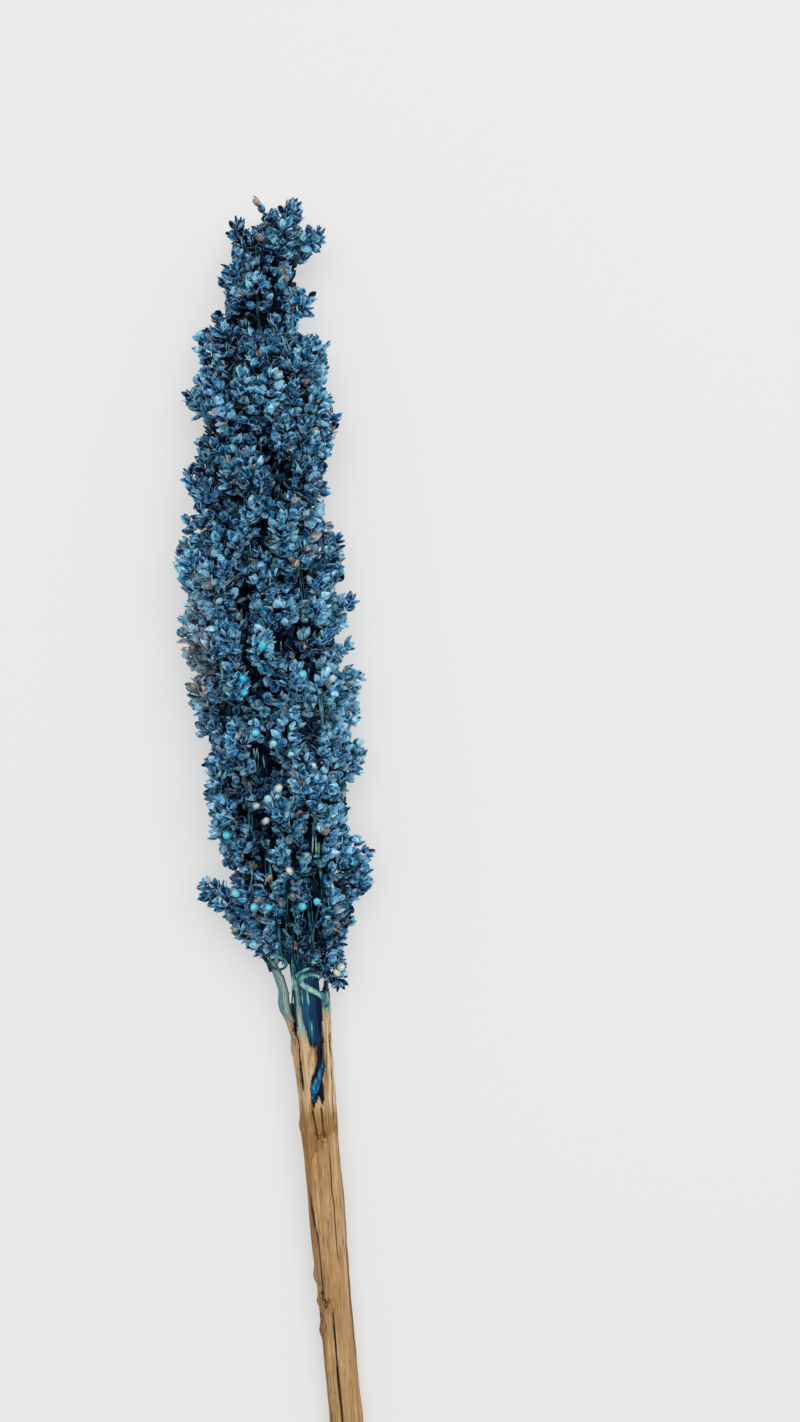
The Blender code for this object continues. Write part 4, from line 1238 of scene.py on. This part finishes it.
# Pale upper part, with its painted light on the right side.
tan = (pale_part * broad.ramp(0.36, 0.54) * 0.75).clamp().mix(tan, (0.700, 0.510, 0.300, 1))
peel_edge = (1 - flow.math("ABSOLUTE", peel_place - 0.5) * 14.0).clamp()
tan = (peel_edge * broad.ramp(0.42, 0.60) * 0.70).mix(tan, (0.120, 0.050, 0.016, 1))
cream = fine.ramp(0.38, 0.60).mix((0.190, 0.320, 0.260, 1), (0.560, 0.610, 0.480, 1))
teal = (point_value(flow, "cream") * 0.85).mix(teal, cream)
soaked = (point_value(flow, "dye") * 1.2 + (blotch - 0.5) * 0.9 + (fine - 0.5) * 0.6 - 0.1).clamp()
colour = soaked.mix(tan, teal)
stain = (point_value(flow, "edge") * (fine * 1.8 - 0.2)).clamp()
colour = (stain * 0.75).mix(colour, soaked.mix((0.075, 0.034, 0.012, 1), (0.004, 0.050, 0.075, 1)))
streaks = fibres(flow, 1100, 5, 2.0)
colour = ((1 - soaked) * streaks.ramp(0.590, 0.660) * 0.48).mix(colour, (0.160, 0.070, 0.020, 1))
colour = ((1 - soaked) * streaks.ramp(0.400, 0.340) * 0.45).mix(colour, (0.740, 0.540, 0.300, 1))
bark = object_place(flow).noise(620.0, 3.0, Distortion=1.5).ramp(0.51, 0.57)
scar = (point_value(flow, "scar") * 1.4).clamp() * bark
colour = (scar * 0.88).mix(colour, (0.050, 0.022, 0.010, 1))
# Cracks near black: painted shade in their grooves.
colour = (point_value(flow, "crack").ramp(0.60, 0.74) * 0.93).mix(colour, (0.022, 0.010, 0.004, 1))
# The sheath's inner side is near black: painted shade.
colour = (point_value(flow, "inner") * 0.94).mix(colour, (0.006, 0.008, 0.007, 1))
surface.inputs["Specular IOR Level"].default_value = 0.3
relief = tone - scar * 0.5 - streaks.ramp(0.585, 0.650) * 0.4
finish_material([sheath], dry_sheath, flow, colour, 0.58 + 0.2 * (fine - 0.5), (relief, 0.8, 0.0006))

# Pith
# The dry stalk inside the sheath, pale and spongy, which shows only at the square cut at the lower end.

PITH_FOOT = -0.2496
PITH_LENGTH = 0.155


def in_sheath(across, up, share):
    """A point of the pith, close to the sheath's wall at the cut and clear of it above."""
    y = PITH_FOOT + PITH_LENGTH * share
    place = stalk_at(y)
    wide = (float(smooth(SHEATH_RADII, y)) - SHEATH_WALL) * (0.98 if share < 0.01 else 0.80)
    return place[0] + across * wide, y, place[2] + up * wide


pith = shaped_rod(48, 26, in_sheath)
bpy.ops.object.shade_smooth_by_angle(angle=math.radians(40))
finished("pith", pith)
pale_pith, surface, flow = start_material("pale_pith")
place = object_place(flow)
cells = flow.node("ShaderNodeTexVoronoi", {}, {"Vector": place, "Scale": 1100.0})
colour = cells.ramp(0.1, 0.35).mix((0.24, 0.14, 0.07, 1), (0.62, 0.52, 0.36, 1))
# Near black above the cut face, inside the sheath: painted shade.
colour = place.part("Y").ramp(-0.2494, -0.2480).mix(colour, (0.030, 0.015, 0.007, 1))
finish_material([pith], pale_pith, flow, colour, 0.85, (cells, 0.4, 0.0003))

# Curled strips
# Two thin strips of sheath that have curled back over the front of the dyed stalk, teal and cream.

# Each strip as x, y, z in metres and how thick it is there
CURLS = (
    ((0.0126, -0.0530, 0.0243, 1.25), (0.0128, -0.0505, 0.0250, 1.35), (0.0124, -0.0480, 0.0262, 1.35),
     (0.0098, -0.0455, 0.0284, 1.2), (0.0062, -0.0435, 0.0302, 1.2), (0.0038, -0.0411, 0.0314, 1.15),
     (0.0046, -0.0385, 0.0322, 1.1), (0.0076, -0.0376, 0.0330, 1.0), (0.0106, -0.0390, 0.0332, 0.6)),
    ((0.0010, -0.0440, 0.0264, 0.9), (0.0012, -0.0412, 0.0270, 0.9), (0.0026, -0.0386, 0.0280, 0.85),
     (0.0048, -0.0370, 0.0290, 0.8), (0.0080, -0.0362, 0.0298, 0.5)),
)
lines = [([row[:3] for row in curl], [row[3] for row in curl]) for curl in CURLS]
curl = round_strands("curled_strips", lines, 0.00086, 3, 8)
x, y, z = np.array([point.co for point in curl.data.vertices]).T
set_values(curl.data, {"cream": np.clip((-0.0375 - y) / 0.008, 0, 1) * np.clip((0.0115 - x) / 0.003, 0, 1)})
finished("curled_strips", curl)
teal_strip, surface, flow = start_material("teal_strip")
mottle = fibres(flow, 620, 620)
colour = (mottle + (point_value(flow, "cream") - 0.3) * 0.25).clamp().colours(
    (0.30, (0.004, 0.070, 0.110)), (0.46, (0.050, 0.250, 0.300)), (0.62, (0.280, 0.520, 0.460)),
    (0.82, (0.600, 0.680, 0.500)),
)
finish_material([curl], teal_strip, flow, colour, 0.5, (mottle, 0.5, 0.0003))

# Table, light and camera
# A pale matt table, a broad soft lamp above it, and a camera that looks straight down.

bpy.ops.object.select_all(action="DESELECT")
bpy.ops.mesh.primitive_plane_add(size=6, location=(0, 0, -0.0002))
table = bpy.context.object
table.name = "table"
table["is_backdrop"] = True
pale_table, surface, flow = start_material("pale_table")
# The table glows a little, less so far away: painted light that keeps the shadows on it faint
distance = flow.node("ShaderNodeVectorMath", {"operation": "LENGTH"}, {0: object_place(flow)}, out="Value")
glow = distance.ramp(2.6, 0.6).mix((0.40, 0.40, 0.40, 1), (1.0, 0.995, 0.995, 1))
flow.feed(surface.inputs["Emission Color"], glow)
surface.inputs["Emission Strength"].default_value = 0.45
surface.inputs["Specular IOR Level"].default_value = 0.1
finish_material([table], pale_table, flow, (0.37, 0.368, 0.368, 1), 0.9)

world = bpy.data.worlds.new("studio")
bpy.context.scene.world = world
world.use_nodes = True
sky = world.node_tree.nodes["Background"]
sky.inputs["Color"].default_value = (1.0, 1.0, 1.0, 1)
sky.inputs["Strength"].default_value = 0.36
lamp_data = bpy.data.lights.new("lamp", "AREA")
lamp_data.shape = "DISK"
lamp_data.size = 2.0
lamp_data.energy = 33.0
lamp = bpy.data.objects.new("lamp", lamp_data)
lamp.location = (0.25, 0.42, 1.92)
lamp.rotation_euler = (Vector((0, 0, 0)) - lamp.location).to_track_quat("-Z", "Y").to_euler()
bpy.context.scene.collection.objects.link(lamp)

# The picture is as high as this at half the head's thickness above the table
CAMERA_HEIGHT = 0.645
PICTURE_HEIGHT = 0.5267
HALF_THICKNESS = 0.025
SENSOR = 36

camera_data = bpy.data.cameras.new("camera")
camera_data.sensor_width = SENSOR
camera_data.lens = SENSOR * (CAMERA_HEIGHT - HALF_THICKNESS) / PICTURE_HEIGHT
camera = bpy.data.objects.new("camera", camera_data)
camera.location = (0.0457, 0.0564, CAMERA_HEIGHT)
camera.rotation_euler = (0, 0, math.radians(-3.03))
bpy.context.scene.collection.objects.link(camera)
bpy.context.scene.camera = camera
bpy.context.scene.view_settings.view_transform = "Standard"

[[list(corner) for corner in box] for box in (cad_box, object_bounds())]
